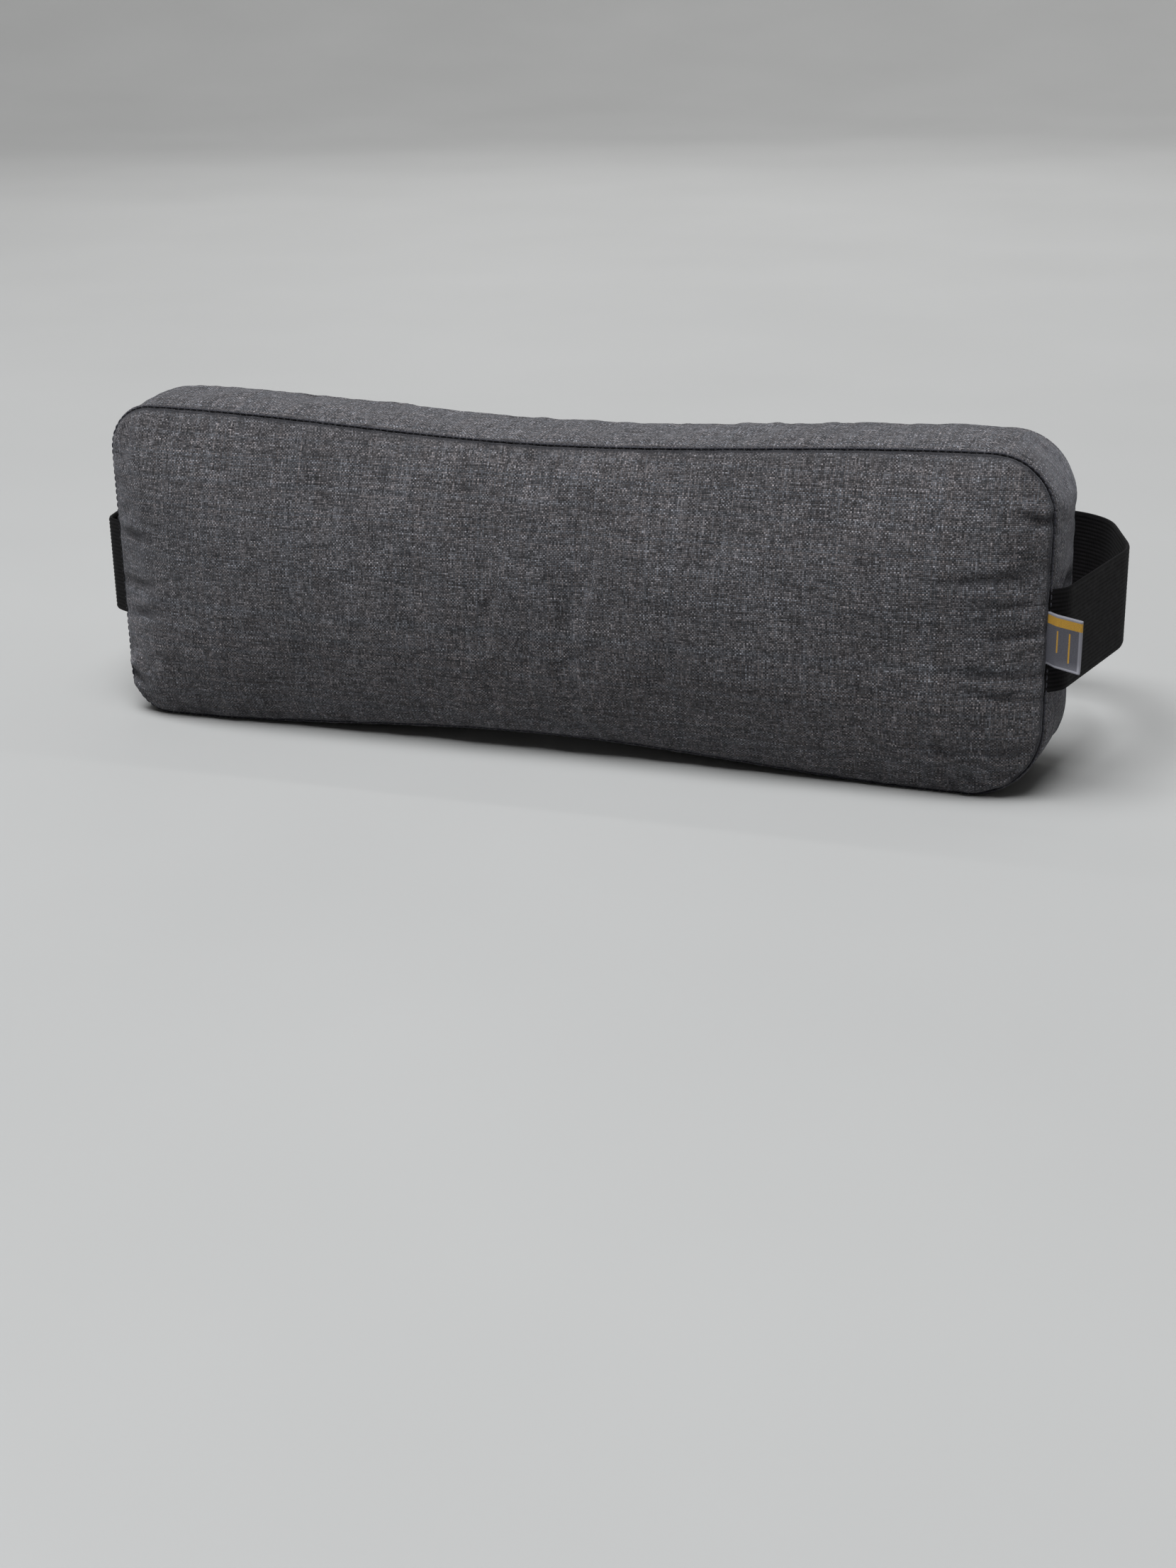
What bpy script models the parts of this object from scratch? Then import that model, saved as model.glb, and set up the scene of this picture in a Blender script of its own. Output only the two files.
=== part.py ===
"""Lumbar support cushion on an elastic strap, each sewn or moulded piece its own object.

Metres, +Z up. The front faces -Y and +X is to the right of someone who looks at it. The cushion
stands on its lower edge at Z 0. The strap runs back from both end seams, round the space that a
chair's backrest takes, and is closed behind it by a side-release buckle.
"""
import math

import bmesh
import bpy
from mathutils import Matrix, Vector

MM = 0.001
GAP = 0.3 * MM  # clearance between neighbouring pieces

# Cushion
WIDTH = 0.400
HEIGHT = 0.1365
DEPTH = 0.048  # front seam to the back's face
FRONT_CROWN = 0.018  # how far the stuffed front stands out of its seam
CORNER_RADII = {"top_right": 0.024, "top_left": 0.020, "bottom_left": 0.018, "bottom_right": 0.030}
PULL_TOP = 0.0065  # how far the edges draw in half-way between the corners
PULL_BOTTOM = 0.0075
BAND_BULGE = 0.003
CLOTH = 0.8 * MM
SEAM_INSET = 0.4 * MM
THREAD_RADIUS = 0.4 * MM
THREAD_INSET = 0.8 * MM
THREAD_ROOM = THREAD_RADIUS + GAP
RIM_ROOM = THREAD_ROOM + 0.6 * CLOTH  # the front's sloping rim leans over the thread by its thickness
DOME_MIDDLE = 0.12  # scale of the flat strip along the middle of a dome
DOME_POWER = 0.62
LABEL_REACH = 12.5 * MM
LABEL_HALF_WIDTH = 10.5 * MM
LABEL_DROOP = 11  # degrees

# Liner bag and filling
LINER = 0.8 * MM
LINER_INSET = SEAM_INSET + CLOTH + 1.7 * MM
LINER_FRONT = CLOTH + 1.5 * MM  # how far the liner's dome lies behind the cover's
LINER_BACK = 4.2 * MM  # from the back's face, clear of the zip slider's inner plate
LINER_EDGE = 3 * MM  # how far the bag's rear edge is drawn in
FILLING_ROOM = LINER + 1.0 * MM
INNER_SCALES = (DOME_MIDDLE, 0.4, 0.68, 0.88, 0.97)

# Strap
STRAP_WIDTH = 0.041
STRAP_THICKNESS = 1.6 * MM
STRAP_Z = 0.065
STRAP_TURN = 1.8 * MM  # radius of the strap's middle round a buckle's bar
LAYER_STEP = STRAP_THICKNESS + 0.4 * MM  # between the middles of two layers that lie together
REAR_RUN = 0.128  # front seam to the right strap's run behind the backrest
SEWN_END_X = 0.086
TAIL_END_X = -0.150
KEEPER_X = -0.112
KEEPER_LENGTH = 0.010
KEEPER_WALL = 1.8 * MM
KEEPER_ROOM = 0.4 * MM

# Buckle, for 40 mm webbing
BUCKLE_HALF_WIDTH = 26.5 * MM
BUCKLE_HALF_THICKNESS = 6.0 * MM
CAVITY_HALF_WIDTH = 24.7 * MM
CAVITY_HALF_THICKNESS = 4.2 * MM
ARM_THICKNESS = 7.2 * MM
SHELL_LENGTH = 37 * MM
BAR_THICKNESS = 3.0 * MM
SLOT_HALF_WIDTH = 21.5 * MM
OVER_BAR = BAR_THICKNESS / 2 + 0.4 * MM + STRAP_THICKNESS / 2  # bar's middle to the strap's middle
ARM_HINGE = (2.1 * MM, 16.5 * MM)  # X from the buckle's mouth, Z from its middle
ARM_ROOT_RADIUS = 1.8 * MM
MOULDED_EDGE = 1.2 * MM
THIN_EDGE = 0.6 * MM
CLEAR_THROUGH = 10 * MM  # half the depth of a cutter that goes right through

# Zip, across the lower part of the back
ZIP_Z = 0.030
ZIP_HALF_LENGTH = 0.160
ZIP_MOUTH = 5.5 * MM  # half the gap between the two back panels
MOUTH_OVERRUN = 6 * MM  # how far the mouth runs past each stop
ROW_INNER = 0.65 * MM
ROW_OUTER = 3.0 * MM
ROW_HALF_THICKNESS = 1.0 * MM
TAPE_INNER = 0.8 * MM
TAPE_OUTER = 15 * MM
TAPE_THICKNESS = 0.6 * MM
TAPE_FACE = -1.3 * MM  # from the back's face
STOP_LENGTH = 3 * MM
TAPE_OVERRUN = 10 * MM
SLIDER_LENGTH = 0.013
SLIDER_HALF_WIDTH = 4.4 * MM
SLIDER_FACE = ROW_HALF_THICKNESS + GAP
SLIDER_PLATE = 1.1 * MM
SLIDER_START_X = -(ZIP_HALF_LENGTH - SLIDER_LENGTH / 2 - 0.5 * MM)  # closed, by the left stop
BAIL_HALF_SPAN = 4 * MM
PULL_LENGTH = 0.025
PULL_HALF_THICKNESS = 0.8 * MM

# Frame: the origin is under the middle of the whole object
REAR_REACH = REAR_RUN + OVER_BAR + BUCKLE_HALF_THICKNESS
SEAM_Y = (FRONT_CROWN - REAR_REACH) / 2
BACK_Y = SEAM_Y + DEPTH
REAR_Y = SEAM_Y + REAR_RUN
LEFT_RUN_Y = REAR_Y - LAYER_STEP  # the tail lies between it and the plug's outer bar
BUCKLE_Y = REAR_Y + OVER_BAR
BAND_FRONT_Y = SEAM_Y + THREAD_ROOM
BACK_THREAD_Y = BACK_Y - CLOTH - THREAD_ROOM
BAND_REAR_Y = BACK_THREAD_Y - THREAD_ROOM
LINER_BACK_Y = BACK_Y - LINER_BACK
PULL_PIVOT_Y = BACK_Y + SLIDER_FACE + SLIDER_PLATE + 1.5 * MM

EDGE_STEPS = 12  # segments along the top or bottom edge
SIDE_STEPS = 4
CORNER_STEPS = 4


# ---------------------------------------------------------------- scene

def clear_scene():
    for obj in list(bpy.data.objects):
        bpy.data.objects.remove(obj)
    for collection in list(bpy.data.collections):
        bpy.data.collections.remove(collection)


def new_collection(name):
    collection = bpy.data.collections.new(name)
    bpy.context.scene.collection.children.link(collection)
    return collection


def material(name, colour, roughness, metallic=0.0):
    mat = bpy.data.materials.new(name)
    mat.use_nodes = True
    shader = mat.node_tree.nodes["Principled BSDF"]
    shader.inputs["Base Color"].default_value = (*colour, 1.0)
    shader.inputs["Roughness"].default_value = roughness
    shader.inputs["Metallic"].default_value = metallic
    return mat


clear_scene()
PARTS = new_collection("lumbar_cushion")
CUTTERS = new_collection("cutters")
MELANGE = material("melange_cloth", (0.12, 0.12, 0.13), 0.9)
THREAD = material("dark_thread", (0.01, 0.01, 0.02), 0.7)
WEBBING = material("black_elastic", (0.012, 0.011, 0.012), 0.8)
TAG = material("woven_tag", (0.14, 0.14, 0.15), 0.7)
CALICO = material("liner_cloth", (0.55, 0.52, 0.46), 0.9)
HULLS = material("hull_filling", (0.16, 0.10, 0.06), 0.9)
BLACK_PLASTIC = material("black_acetal", (0.015, 0.015, 0.016), 0.45)
TAPE = material("zip_tape", (0.03, 0.03, 0.035), 0.85)
COIL = material("zip_coil", (0.025, 0.025, 0.028), 0.4)
ZIP_METAL = material("black_nickel", (0.12, 0.12, 0.13), 0.35, 1.0)


# ---------------------------------------------------------------- modelling helpers

def add_object(name, bm, mat, collection=PARTS, sharp_angle=40):
    """Makes an object of bm, whose coordinates are the world's."""
    bmesh.ops.recalc_face_normals(bm, faces=bm.faces)
    mesh = bpy.data.meshes.new(name)
    bm.to_mesh(mesh)
    bm.free()
    obj = bpy.data.objects.new(name, mesh)
    collection.objects.link(obj)
    if mat:
        mesh.materials.append(mat)
    mesh.shade_smooth()
    mesh.set_sharp_from_angle(angle=math.radians(sharp_angle))
    return obj


def set_origin(obj, point):
    obj.data.transform(Matrix.Translation(-Vector(point)))
    obj.location = point


def box(name, low, high, mat=None, bevel=0.0, segments=2, collection=PARTS):
    low, high = Vector(low), Vector(high)
    bm = bmesh.new()
    bmesh.ops.create_cube(bm, size=1.0)
    bmesh.ops.scale(bm, vec=high - low, verts=bm.verts)
    bmesh.ops.translate(bm, vec=(low + high) / 2, verts=bm.verts)
    obj = add_object(name, bm, mat, collection)
    if bevel:
        rounding = obj.modifiers.new("rounded_edges", "BEVEL")
        rounding.width = bevel
        rounding.segments = segments
    return obj


def boolean(obj, tool, operation):
    change = obj.modifiers.new(f"{operation.lower()}_{tool.name}", "BOOLEAN")
    change.object = tool
    change.operation = operation
    tool.hide_render = True
    tool.display_type = "WIRE"


def cut_box(obj, label, low, high):
    boolean(obj, box(f"{obj.name}_{label}_cutter", low, high, collection=CUTTERS), "DIFFERENCE")


def join_box(obj, label, low, high, bevel=0.0):
    boolean(obj, box(f"{obj.name}_{label}_joined", low, high, bevel=bevel, collection=CUTTERS), "UNION")


def solidify(obj, thickness, offset):
    shell = obj.modifiers.new("cloth_thickness", "SOLIDIFY")
    shell.thickness = thickness
    shell.offset = offset
    shell.use_even_offset = True


def arc(centre, radius, start, end, steps):
    """Points on an arc in a plane, angles in degrees, both ends included."""
    angles = [math.radians(start + (end - start) * i / steps) for i in range(steps + 1)]
    return [(centre[0] + radius * math.cos(a), centre[1] + radius * math.sin(a)) for a in angles]


def rounded_path(corners, step=20):
    """A path in a plane through (a, b, radius) corners. An arc rounds each corner whose radius isn't 0."""
    points = []
    count = len(corners)
    for i, (a, b, radius) in enumerate(corners):
        here = Vector((a, b))
        if radius == 0:
            points.append(here)
            continue
        before = (Vector(corners[i - 1][:2]) - here).normalized()
        after = (Vector(corners[(i + 1) % count][:2]) - here).normalized()
        turn = math.pi - before.angle(after)
        reach = radius * math.tan(turn / 2)
        centre = here + (before + after).normalized() * (radius / math.cos(turn / 2))
        first = here + before * reach - centre
        side = 1 if before.cross(after) < 0 else -1
        pieces = max(2, math.ceil(math.degrees(turn) / step))
        for k in range(pieces + 1):
            points.append(centre + Matrix.Rotation(side * turn * k / pieces, 2) @ first)
    return points


def ribbon(name, path, z_low, z_high, thickness, mat, collection=PARTS):
    """A strip of even thickness that stands on edge along a path in the XY plane."""
    bm = bmesh.new()
    lower = [bm.verts.new((p[0], p[1], z_low)) for p in path]
    upper = [bm.verts.new((p[0], p[1], z_high)) for p in path]
    for i in range(len(path) - 1):
        bm.faces.new((lower[i], lower[i + 1], upper[i + 1], upper[i]))
    obj = add_object(name, bm, mat, collection)
    solidify(obj, thickness, 0.0)
    return obj


def plate(name, outline, y_low, y_high, mat, collection=PARTS):
    """A flat plate across Y from an outline of (x, z) points."""
    curve = bpy.data.curves.new(name, "CURVE")
    curve.dimensions = "2D"
    curve.fill_mode = "BOTH"
    curve.extrude = (y_high - y_low) / 2
    spline = curve.splines.new("POLY")
    spline.points.add(len(outline) - 1)
    for point, (x, z) in zip(spline.points, outline):
        point.co = (x, z, 0.0, 1.0)
    spline.use_cyclic_u = True
    curve.materials.append(mat)
    obj = bpy.data.objects.new(name, curve)
    obj.rotation_euler = (math.radians(90), 0.0, 0.0)
    obj.location = (0.0, (y_low + y_high) / 2, 0.0)
    collection.objects.link(obj)
    return obj


def as_mesh(obj):
    """Replaces a curve object by a mesh object of the same name, its caps welded and made one face."""
    name, home = obj.name, obj.users_collection[0]
    bpy.context.view_layer.update()
    depsgraph = bpy.context.evaluated_depsgraph_get()
    mesh = bpy.data.meshes.new_from_object(obj.evaluated_get(depsgraph))
    mesh.transform(obj.matrix_world)
    bpy.data.objects.remove(obj)
    bm = bmesh.new()
    bm.from_mesh(mesh)
    bmesh.ops.remove_doubles(bm, verts=bm.verts, dist=0.01 * MM)
    bmesh.ops.dissolve_limit(bm, angle_limit=math.radians(0.5), verts=[], edges=bm.edges)
    return add_object(name, bm, mesh.materials[0], home)


# ---------------------------------------------------------------- cushion shape

def edge_pull(x, half_run, amount):
    """How far an edge draws in at x, nothing at the corners."""
    return amount * math.cos(math.pi * x / (2 * half_run)) ** 2


def outline(inset=0.0):
    """The cushion's edge as (x, z) points, anticlockwise from the top edge's right end."""
    half, top, bottom = WIDTH / 2 - inset, HEIGHT - inset, inset
    radius = {corner: r - inset for corner, r in CORNER_RADII.items()}
    points = []

    def edge(start, end, level, amount):
        middle, half_run = (start + end) / 2, abs(end - start) / 2
        for i in range(EDGE_STEPS):
            x = start + (end - start) * i / EDGE_STEPS
            points.append((x, level - edge_pull(x - middle, half_run, amount)))

    def side(x, start, end):
        points.extend((x, start + (end - start) * i / SIDE_STEPS) for i in range(SIDE_STEPS))

    def corner(name, x, z, start):
        sign_x, sign_z = (1 if x > 0 else -1), (1 if z > HEIGHT / 2 else -1)
        centre = (x - sign_x * radius[name], z - sign_z * radius[name])
        points.extend(arc(centre, radius[name], start, start + 90, CORNER_STEPS)[:-1])

    edge(half - radius["top_right"], -half + radius["top_left"], top, PULL_TOP)
    corner("top_left", -half, top, 90)
    side(-half, top - radius["top_left"], bottom + radius["bottom_left"])
    corner("bottom_left", -half, bottom, 180)
    edge(-half + radius["bottom_left"], half - radius["bottom_right"], bottom, -PULL_BOTTOM)
    corner("bottom_right", half, bottom, 270)
    side(half, bottom + radius["bottom_right"], top - radius["top_right"])
    corner("top_right", half, top, 0)
    return points


def ring(y, inset=0.0, scale=1.0):
    """The outline at y, drawn towards the cushion's long middle line when scale is under 1."""
    reach = (WIDTH - HEIGHT) / 2
    middle = HEIGHT / 2
    points = []
    for x, z in outline(inset):
        spine = max(-reach, min(reach, x))
        points.append(Vector((spine + (x - spine) * scale, y, middle + (z - middle) * scale)))
    return points


def loft(rings, cap_first=False, cap_last=False):
    """Skins closed rings of equal length, one after the other."""
    bm = bmesh.new()
    loops = [[bm.verts.new(p) for p in points] for points in rings]
    count = len(loops[0])
    for here, there in zip(loops, loops[1:]):
        for i in range(count):
            j = (i + 1) % count
            bm.faces.new((here[i], here[j], there[j], there[i]))
    if cap_first:
        bm.faces.new(loops[0])
    if cap_last:
        bm.faces.new(loops[-1])
    return bm


def dome(scale):
    """Height of the stuffed front, 0 at its edge and 1 along its middle."""
    return ((1 - scale**2) / (1 - DOME_MIDDLE**2)) ** DOME_POWER


def dome_rings(seam_y, crown, inset, scales):
    return [ring(seam_y - crown * dome(s), inset, s) for s in scales]


def bulge(t):
    """Swell of the border band across its width, flat-topped, 0 at both seams."""
    return BAND_BULGE * (1 - (2 * t - 1) ** 4)


# ---------------------------------------------------------------- cushion pieces

def make_front_panel():
    scales = (1.0, 0.97, 0.91, 0.80, 0.64, 0.44, 0.26, DOME_MIDDLE)
    rings = dome_rings(SEAM_Y - RIM_ROOM, FRONT_CROWN - RIM_ROOM, SEAM_INSET, scales)
    panel = add_object("front_panel", loft(rings, cap_last=True), MELANGE)
    solidify(panel, CLOTH, -1.0)


def make_border_band():
    """The gusset: it swells between its seams, and is flat where the cushion stands on it."""
    rings = []
    for t in (0.0, 0.12, 0.35, 0.65, 0.88, 1.0):
        y = BAND_FRONT_Y + (BAND_REAR_Y - BAND_FRONT_Y) * t
        rings.append([Vector((p.x, p.y, max(p.z, 0.0))) for p in ring(y, SEAM_INSET - bulge(t))])
    band = add_object("border_band", loft(rings), MELANGE)
    solidify(band, CLOTH, -1.0)


def back_outline(sign):
    """The back above the zip (sign 1) or below it (sign -1), with a notch along the zip's mouth."""
    sewn, mouth = ZIP_Z + sign * GAP / 2, ZIP_Z + sign * ZIP_MOUTH
    rim = [p for p in outline(SEAM_INSET) if (p[1] - ZIP_Z) * sign > ZIP_MOUTH / 2]
    if sign > 0:  # the outline starts on the top edge, so the upper rim wraps round its end
        first = next(i for i in range(1, len(rim)) if rim[i - 1][0] < 0 < rim[i][0])
        rim = rim[first:] + rim[:first]
    end = -sign * (WIDTH / 2 - SEAM_INSET)
    mouth_end = -sign * (ZIP_HALF_LENGTH + MOUTH_OVERRUN)
    notch = [(end, sewn), (mouth_end, sewn), (mouth_end, mouth),
             (-mouth_end, mouth), (-mouth_end, sewn), (-end, sewn)]
    return rim + notch


def make_back_panels():
    for name, sign in (("back_panel_upper", 1), ("back_panel_lower", -1)):
        plate(name, back_outline(sign), BACK_Y - CLOTH, BACK_Y, MELANGE)


def make_seam_thread(name, y):
    """A closed ring of thread in the groove of a seam."""
    curve = bpy.data.curves.new(name, "CURVE")
    curve.dimensions = "3D"
    curve.bevel_depth = THREAD_RADIUS
    curve.bevel_resolution = 0
    spline = curve.splines.new("POLY")
    points = ring(y, THREAD_INSET)
    spline.points.add(len(points) - 1)
    for point, place in zip(spline.points, points):
        point.co = (*place, 1.0)
    spline.use_cyclic_u = True
    curve.materials.append(THREAD)
    PARTS.objects.link(bpy.data.objects.new(name, curve))


def inner_rings(step):
    """Rings of the liner bag, or of what it holds when step draws them in."""
    inset, seam = LINER_INSET + step, SEAM_Y + LINER_FRONT + step
    front = dome_rings(seam, FRONT_CROWN, inset, INNER_SCALES)
    sides = [ring(seam + 1 * MM, inset), ring(LINER_BACK_Y - step - 4 * MM, inset)]
    return front + sides + [ring(LINER_BACK_Y - step, inset + LINER_EDGE)]


def make_inner_case():
    """The liner bag that holds the filling. Its slit at the back is where it was filled."""
    slit = ring(LINER_BACK_Y, LINER_INSET, DOME_MIDDLE)
    case = add_object("inner_case", loft(inner_rings(0.0) + [slit], cap_first=True), CALICO)
    solidify(case, LINER, -1.0)


def make_hull_filling():
    rings = inner_rings(FILLING_ROOM)
    add_object("hull_filling", loft(rings, cap_first=True, cap_last=True), HULLS)


def make_label():
    """A strip folded at its outer edge, both ends in the seam, drooping a little as it stands out."""
    start_x, y = WIDTH / 2 + GAP, SEAM_Y - 2.6 * MM
    end_x, spread, layer = start_x + LABEL_REACH, 0.5 * MM, 0.4 * MM
    corners = [(start_x, y - spread, 0), (end_x, y - spread, spread * 0.98),
               (end_x, y + spread, spread * 0.98), (start_x, y + spread, 0)]
    middle = STRAP_Z + 1.5 * MM
    low, high = middle - LABEL_HALF_WIDTH, middle + LABEL_HALF_WIDTH
    tag = ribbon("label", rounded_path(corners, step=30), low, high, layer, TAG)
    for vertex in tag.data.vertices:
        vertex.co.z -= math.tan(math.radians(LABEL_DROOP)) * (vertex.co.x - start_x)


# ---------------------------------------------------------------- straps

def strap_side(sign, rear_y):
    """Corners of the strap's path from an end seam, out over the band and round the backrest's edge."""
    start = WIDTH / 2 + 0.7 * MM
    return [(sign * start, SEAM_Y, 0),
            (sign * (start + 4.6 * MM), SEAM_Y + 5 * MM, 4 * MM),
            (sign * 0.2205, SEAM_Y + 0.072, 0.035),
            (sign * 0.2035, rear_y, 0.030)]


def make_strap(name, corners):
    half = STRAP_WIDTH / 2
    ribbon(name, rounded_path(corners), STRAP_Z - half, STRAP_Z + half, STRAP_THICKNESS, WEBBING)


def make_strap_right():
    """Runs to the buckle's socket, round its bar, and back on itself where the end is sewn down."""
    under, over = BUCKLE_Y - OVER_BAR, BUCKLE_Y + OVER_BAR
    turn_x = SHELL_LENGTH + 4.7 * MM
    make_strap("strap_right", strap_side(1, REAR_Y) + [
        (turn_x, under, STRAP_TURN), (turn_x, over, STRAP_TURN),
        (SHELL_LENGTH + 16 * MM, over, 4 * MM),
        (SHELL_LENGTH + 26 * MM, REAR_Y + LAYER_STEP, 4 * MM),
        (SEWN_END_X, REAR_Y + LAYER_STEP, 0)])


def make_strap_left():
    """Runs under both of the plug's slots, up, over the bar between them and down again.

    Its free tail then lies along it, on the side away from the backrest."""
    inner_slot, outer_slot = -18.5 * MM, -29.5 * MM
    over = BUCKLE_Y + OVER_BAR
    make_strap("strap_left", strap_side(-1, LEFT_RUN_Y) + [
        (inner_slot, LEFT_RUN_Y, STRAP_TURN), (inner_slot, over, STRAP_TURN),
        (outer_slot, over, STRAP_TURN), (outer_slot, LEFT_RUN_Y + LAYER_STEP, 1.2 * MM),
        (TAIL_END_X, LEFT_RUN_Y + LAYER_STEP, 0)])


def make_strap_keeper():
    """A moulded loop round both layers of the left strap. It slides along them."""
    depth = (STRAP_THICKNESS + LAYER_STEP) / 2 + KEEPER_ROOM
    half = Vector((KEEPER_LENGTH / 2, depth, STRAP_WIDTH / 2 + KEEPER_ROOM))
    centre = Vector((KEEPER_X, LEFT_RUN_Y + LAYER_STEP / 2, STRAP_Z))
    wall, through = Vector((0.0, KEEPER_WALL, KEEPER_WALL)), Vector((CLEAR_THROUGH, 0.0, 0.0))
    keeper = box("strap_keeper", centre - half - wall, centre + half + wall, BLACK_PLASTIC, THIN_EDGE)
    cut_box(keeper, "loop", centre - half - through, centre + half + through)
    set_origin(keeper, centre)


# ---------------------------------------------------------------- buckle

def buckle_box(x_low, x_high, half_y, half_z):
    """Low and high corners of a block that is centred on the buckle, X from the buckle's mouth."""
    return (x_low, BUCKLE_Y - half_y, STRAP_Z - half_z), (x_high, BUCKLE_Y + half_y, STRAP_Z + half_z)


def buckle_plate(name, upper_corners, half_y, edge, collection=PARTS):
    """A moulded plate with rounded edges, from the (x, z, radius) corners of its upper half, in mm."""
    corners = upper_corners + [(x, -z, radius) for x, z, radius in reversed(upper_corners)]
    points = [(p[0] * MM, STRAP_Z + p[1] * MM) for p in rounded_path(corners, step=30)]
    moulding = as_mesh(plate(name, points, BUCKLE_Y - half_y, BUCKLE_Y + half_y, BLACK_PLASTIC, collection))
    rounding = moulding.modifiers.new("rounded_edges", "BEVEL")
    rounding.width = edge
    rounding.segments = 2
    rounding.limit_method = "ANGLE"
    rounding.angle_limit = math.radians(50)
    rounding.harden_normals = True
    return moulding


def join_plate(moulding, label, upper_corners, half_y):
    part = buckle_plate(f"{moulding.name}_{label}_joined", upper_corners, half_y, THIN_EDGE, CUTTERS)
    boolean(moulding, part, "UNION")


def cut_face_panels(moulding, x_low, x_high, half_z):
    """A shallow sunk panel on both broad faces."""
    depth = 0.4 * MM
    for label, sign in (("rear_panel", 1), ("inner_panel", -1)):
        floor, outside = sign * (BUCKLE_HALF_THICKNESS - depth), sign * CLEAR_THROUGH
        low_y, high_y = sorted((BUCKLE_Y + floor, BUCKLE_Y + outside))
        cut_box(moulding, label, (x_low, low_y, STRAP_Z - half_z), (x_high, high_y, STRAP_Z + half_z))


def cut_slot(moulding, label, x_low):
    """A slot that the strap is threaded through."""
    slot = buckle_box(x_low, x_low + 6 * MM, CLEAR_THROUGH, SLOT_HALF_WIDTH)
    cut_box(moulding, label, *slot)


def make_buckle_socket():
    """A flat shell, open at its mouth and at two side windows, with finger scoops and a strap bar."""
    shell = [(0.0, 26.5, 1.5), (12.0, 26.5, 3.0), (16.0, 24.0, 3.0),
             (26.5, 24.0, 3.0), (30.5, 26.5, 3.0), (37.0, 25.5, 2.5)]
    socket = buckle_plate("buckle_socket", shell, BUCKLE_HALF_THICKNESS, MOULDED_EDGE)
    join_plate(socket, "frame", [(34.0, 25.0, 0), (50.0, 26.5, 3.5)], BAR_THICKNESS / 2)
    cavity = buckle_box(-5 * MM, SHELL_LENGTH - 2.5 * MM, CAVITY_HALF_THICKNESS, CAVITY_HALF_WIDTH)
    cut_box(socket, "cavity", *cavity)
    windows = buckle_box(14.2 * MM, 28.5 * MM, CAVITY_HALF_THICKNESS, SHELL_LENGTH)
    cut_box(socket, "windows", *windows)
    cut_slot(socket, "slot", SHELL_LENGTH + 1.5 * MM)
    cut_face_panels(socket, 7 * MM, 32 * MM, 15 * MM)


def make_buckle_plug():
    """The shoulder with its guide prong, and the two-slot frame that the strap is threaded through."""
    shoulder = [(-11.5, 24.0, 3.0), (-6.0, 26.5, 4.0), (-0.3, 26.5, 0.8)]
    plug = buckle_plate("buckle_plug", shoulder, BUCKLE_HALF_THICKNESS, MOULDED_EDGE)
    join_plate(plug, "frame", [(-37.0, 26.5, 3.5), (-6.0, 25.5, 0)], BAR_THICKNESS / 2)
    join_plate(plug, "prong", [(-3.0, 5.5, 0), (22.0, 5.5, 4.0), (28.0, 3.5, 1.5)], 3.2 * MM)
    cut_slot(plug, "inner_slot", -21.5 * MM)
    cut_slot(plug, "outer_slot", -32.5 * MM)
    set_origin(plug, (0.0, BUCKLE_Y, STRAP_Z))


def arm_outline():
    """The upper arm in (x, z) from the buckle's mouth and middle: nose, catch, spring and root."""
    corners = [(30.0, 16.0, 2.0), (33.4, 17.0, 1.2), (33.0, 19.2, 1.0), (26.6, 25.9, 2.5),
               (15.0, 26.3, 0.5), (15.0, 20.4, 1.0), (6.0, 18.5, 3.0)]
    spring = rounded_path([(x * MM, z * MM, r * MM) for x, z, r in corners], step=30)
    root = arc(ARM_HINGE, ARM_ROOT_RADIUS, 90, 270, 6)
    return [tuple(p) for p in spring] + root


def make_buckle_arm(name, side):
    """One sprung arm, side 1 above and -1 below. It bends at its root, by the shoulder."""
    outline_points = [(x, STRAP_Z + side * z) for x, z in arm_outline()]
    half = ARM_THICKNESS / 2
    arm = as_mesh(plate(name, outline_points, BUCKLE_Y - half, BUCKLE_Y + half, BLACK_PLASTIC))
    set_origin(arm, (ARM_HINGE[0], BUCKLE_Y, STRAP_Z + side * ARM_HINGE[1]))


# ---------------------------------------------------------------- zip

def back_box(x_low, x_high, y_low, y_high, z_low, z_high):
    """Low and high corners of a block, Y from the back's face and Z from the zip's middle."""
    return (x_low, BACK_Y + y_low, ZIP_Z + z_low), (x_high, BACK_Y + y_high, ZIP_Z + z_high)


def make_zip_chain():
    end, tape_end = ZIP_HALF_LENGTH + STOP_LENGTH, ZIP_HALF_LENGTH + TAPE_OVERRUN
    for name, sign in (("upper", 1), ("lower", -1)):
        rows = sorted((sign * ROW_INNER, sign * ROW_OUTER))
        row = back_box(-end, end, -ROW_HALF_THICKNESS, ROW_HALF_THICKNESS, *rows)
        box(f"zip_coil_{name}", *row, COIL, bevel=0.6 * MM)
        tapes = sorted((sign * TAPE_INNER, sign * TAPE_OUTER))
        tape = back_box(-tape_end, tape_end, TAPE_FACE - TAPE_THICKNESS, TAPE_FACE, *tapes)
        box(f"zip_tape_{name}", *tape, TAPE)


def make_zip_stops():
    """A crimped block across both coil rows at each end of the slider's travel."""
    half = ROW_OUTER + 0.4 * MM
    for name, sign in (("zip_stop_left", -1), ("zip_stop_right", 1)):
        ends = sorted((sign * ZIP_HALF_LENGTH, sign * (ZIP_HALF_LENGTH + STOP_LENGTH)))
        block = back_box(*ends, SLIDER_FACE, SLIDER_FACE + 0.9 * MM, -half, half)
        box(name, *block, ZIP_METAL, bevel=0.3 * MM)


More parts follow.
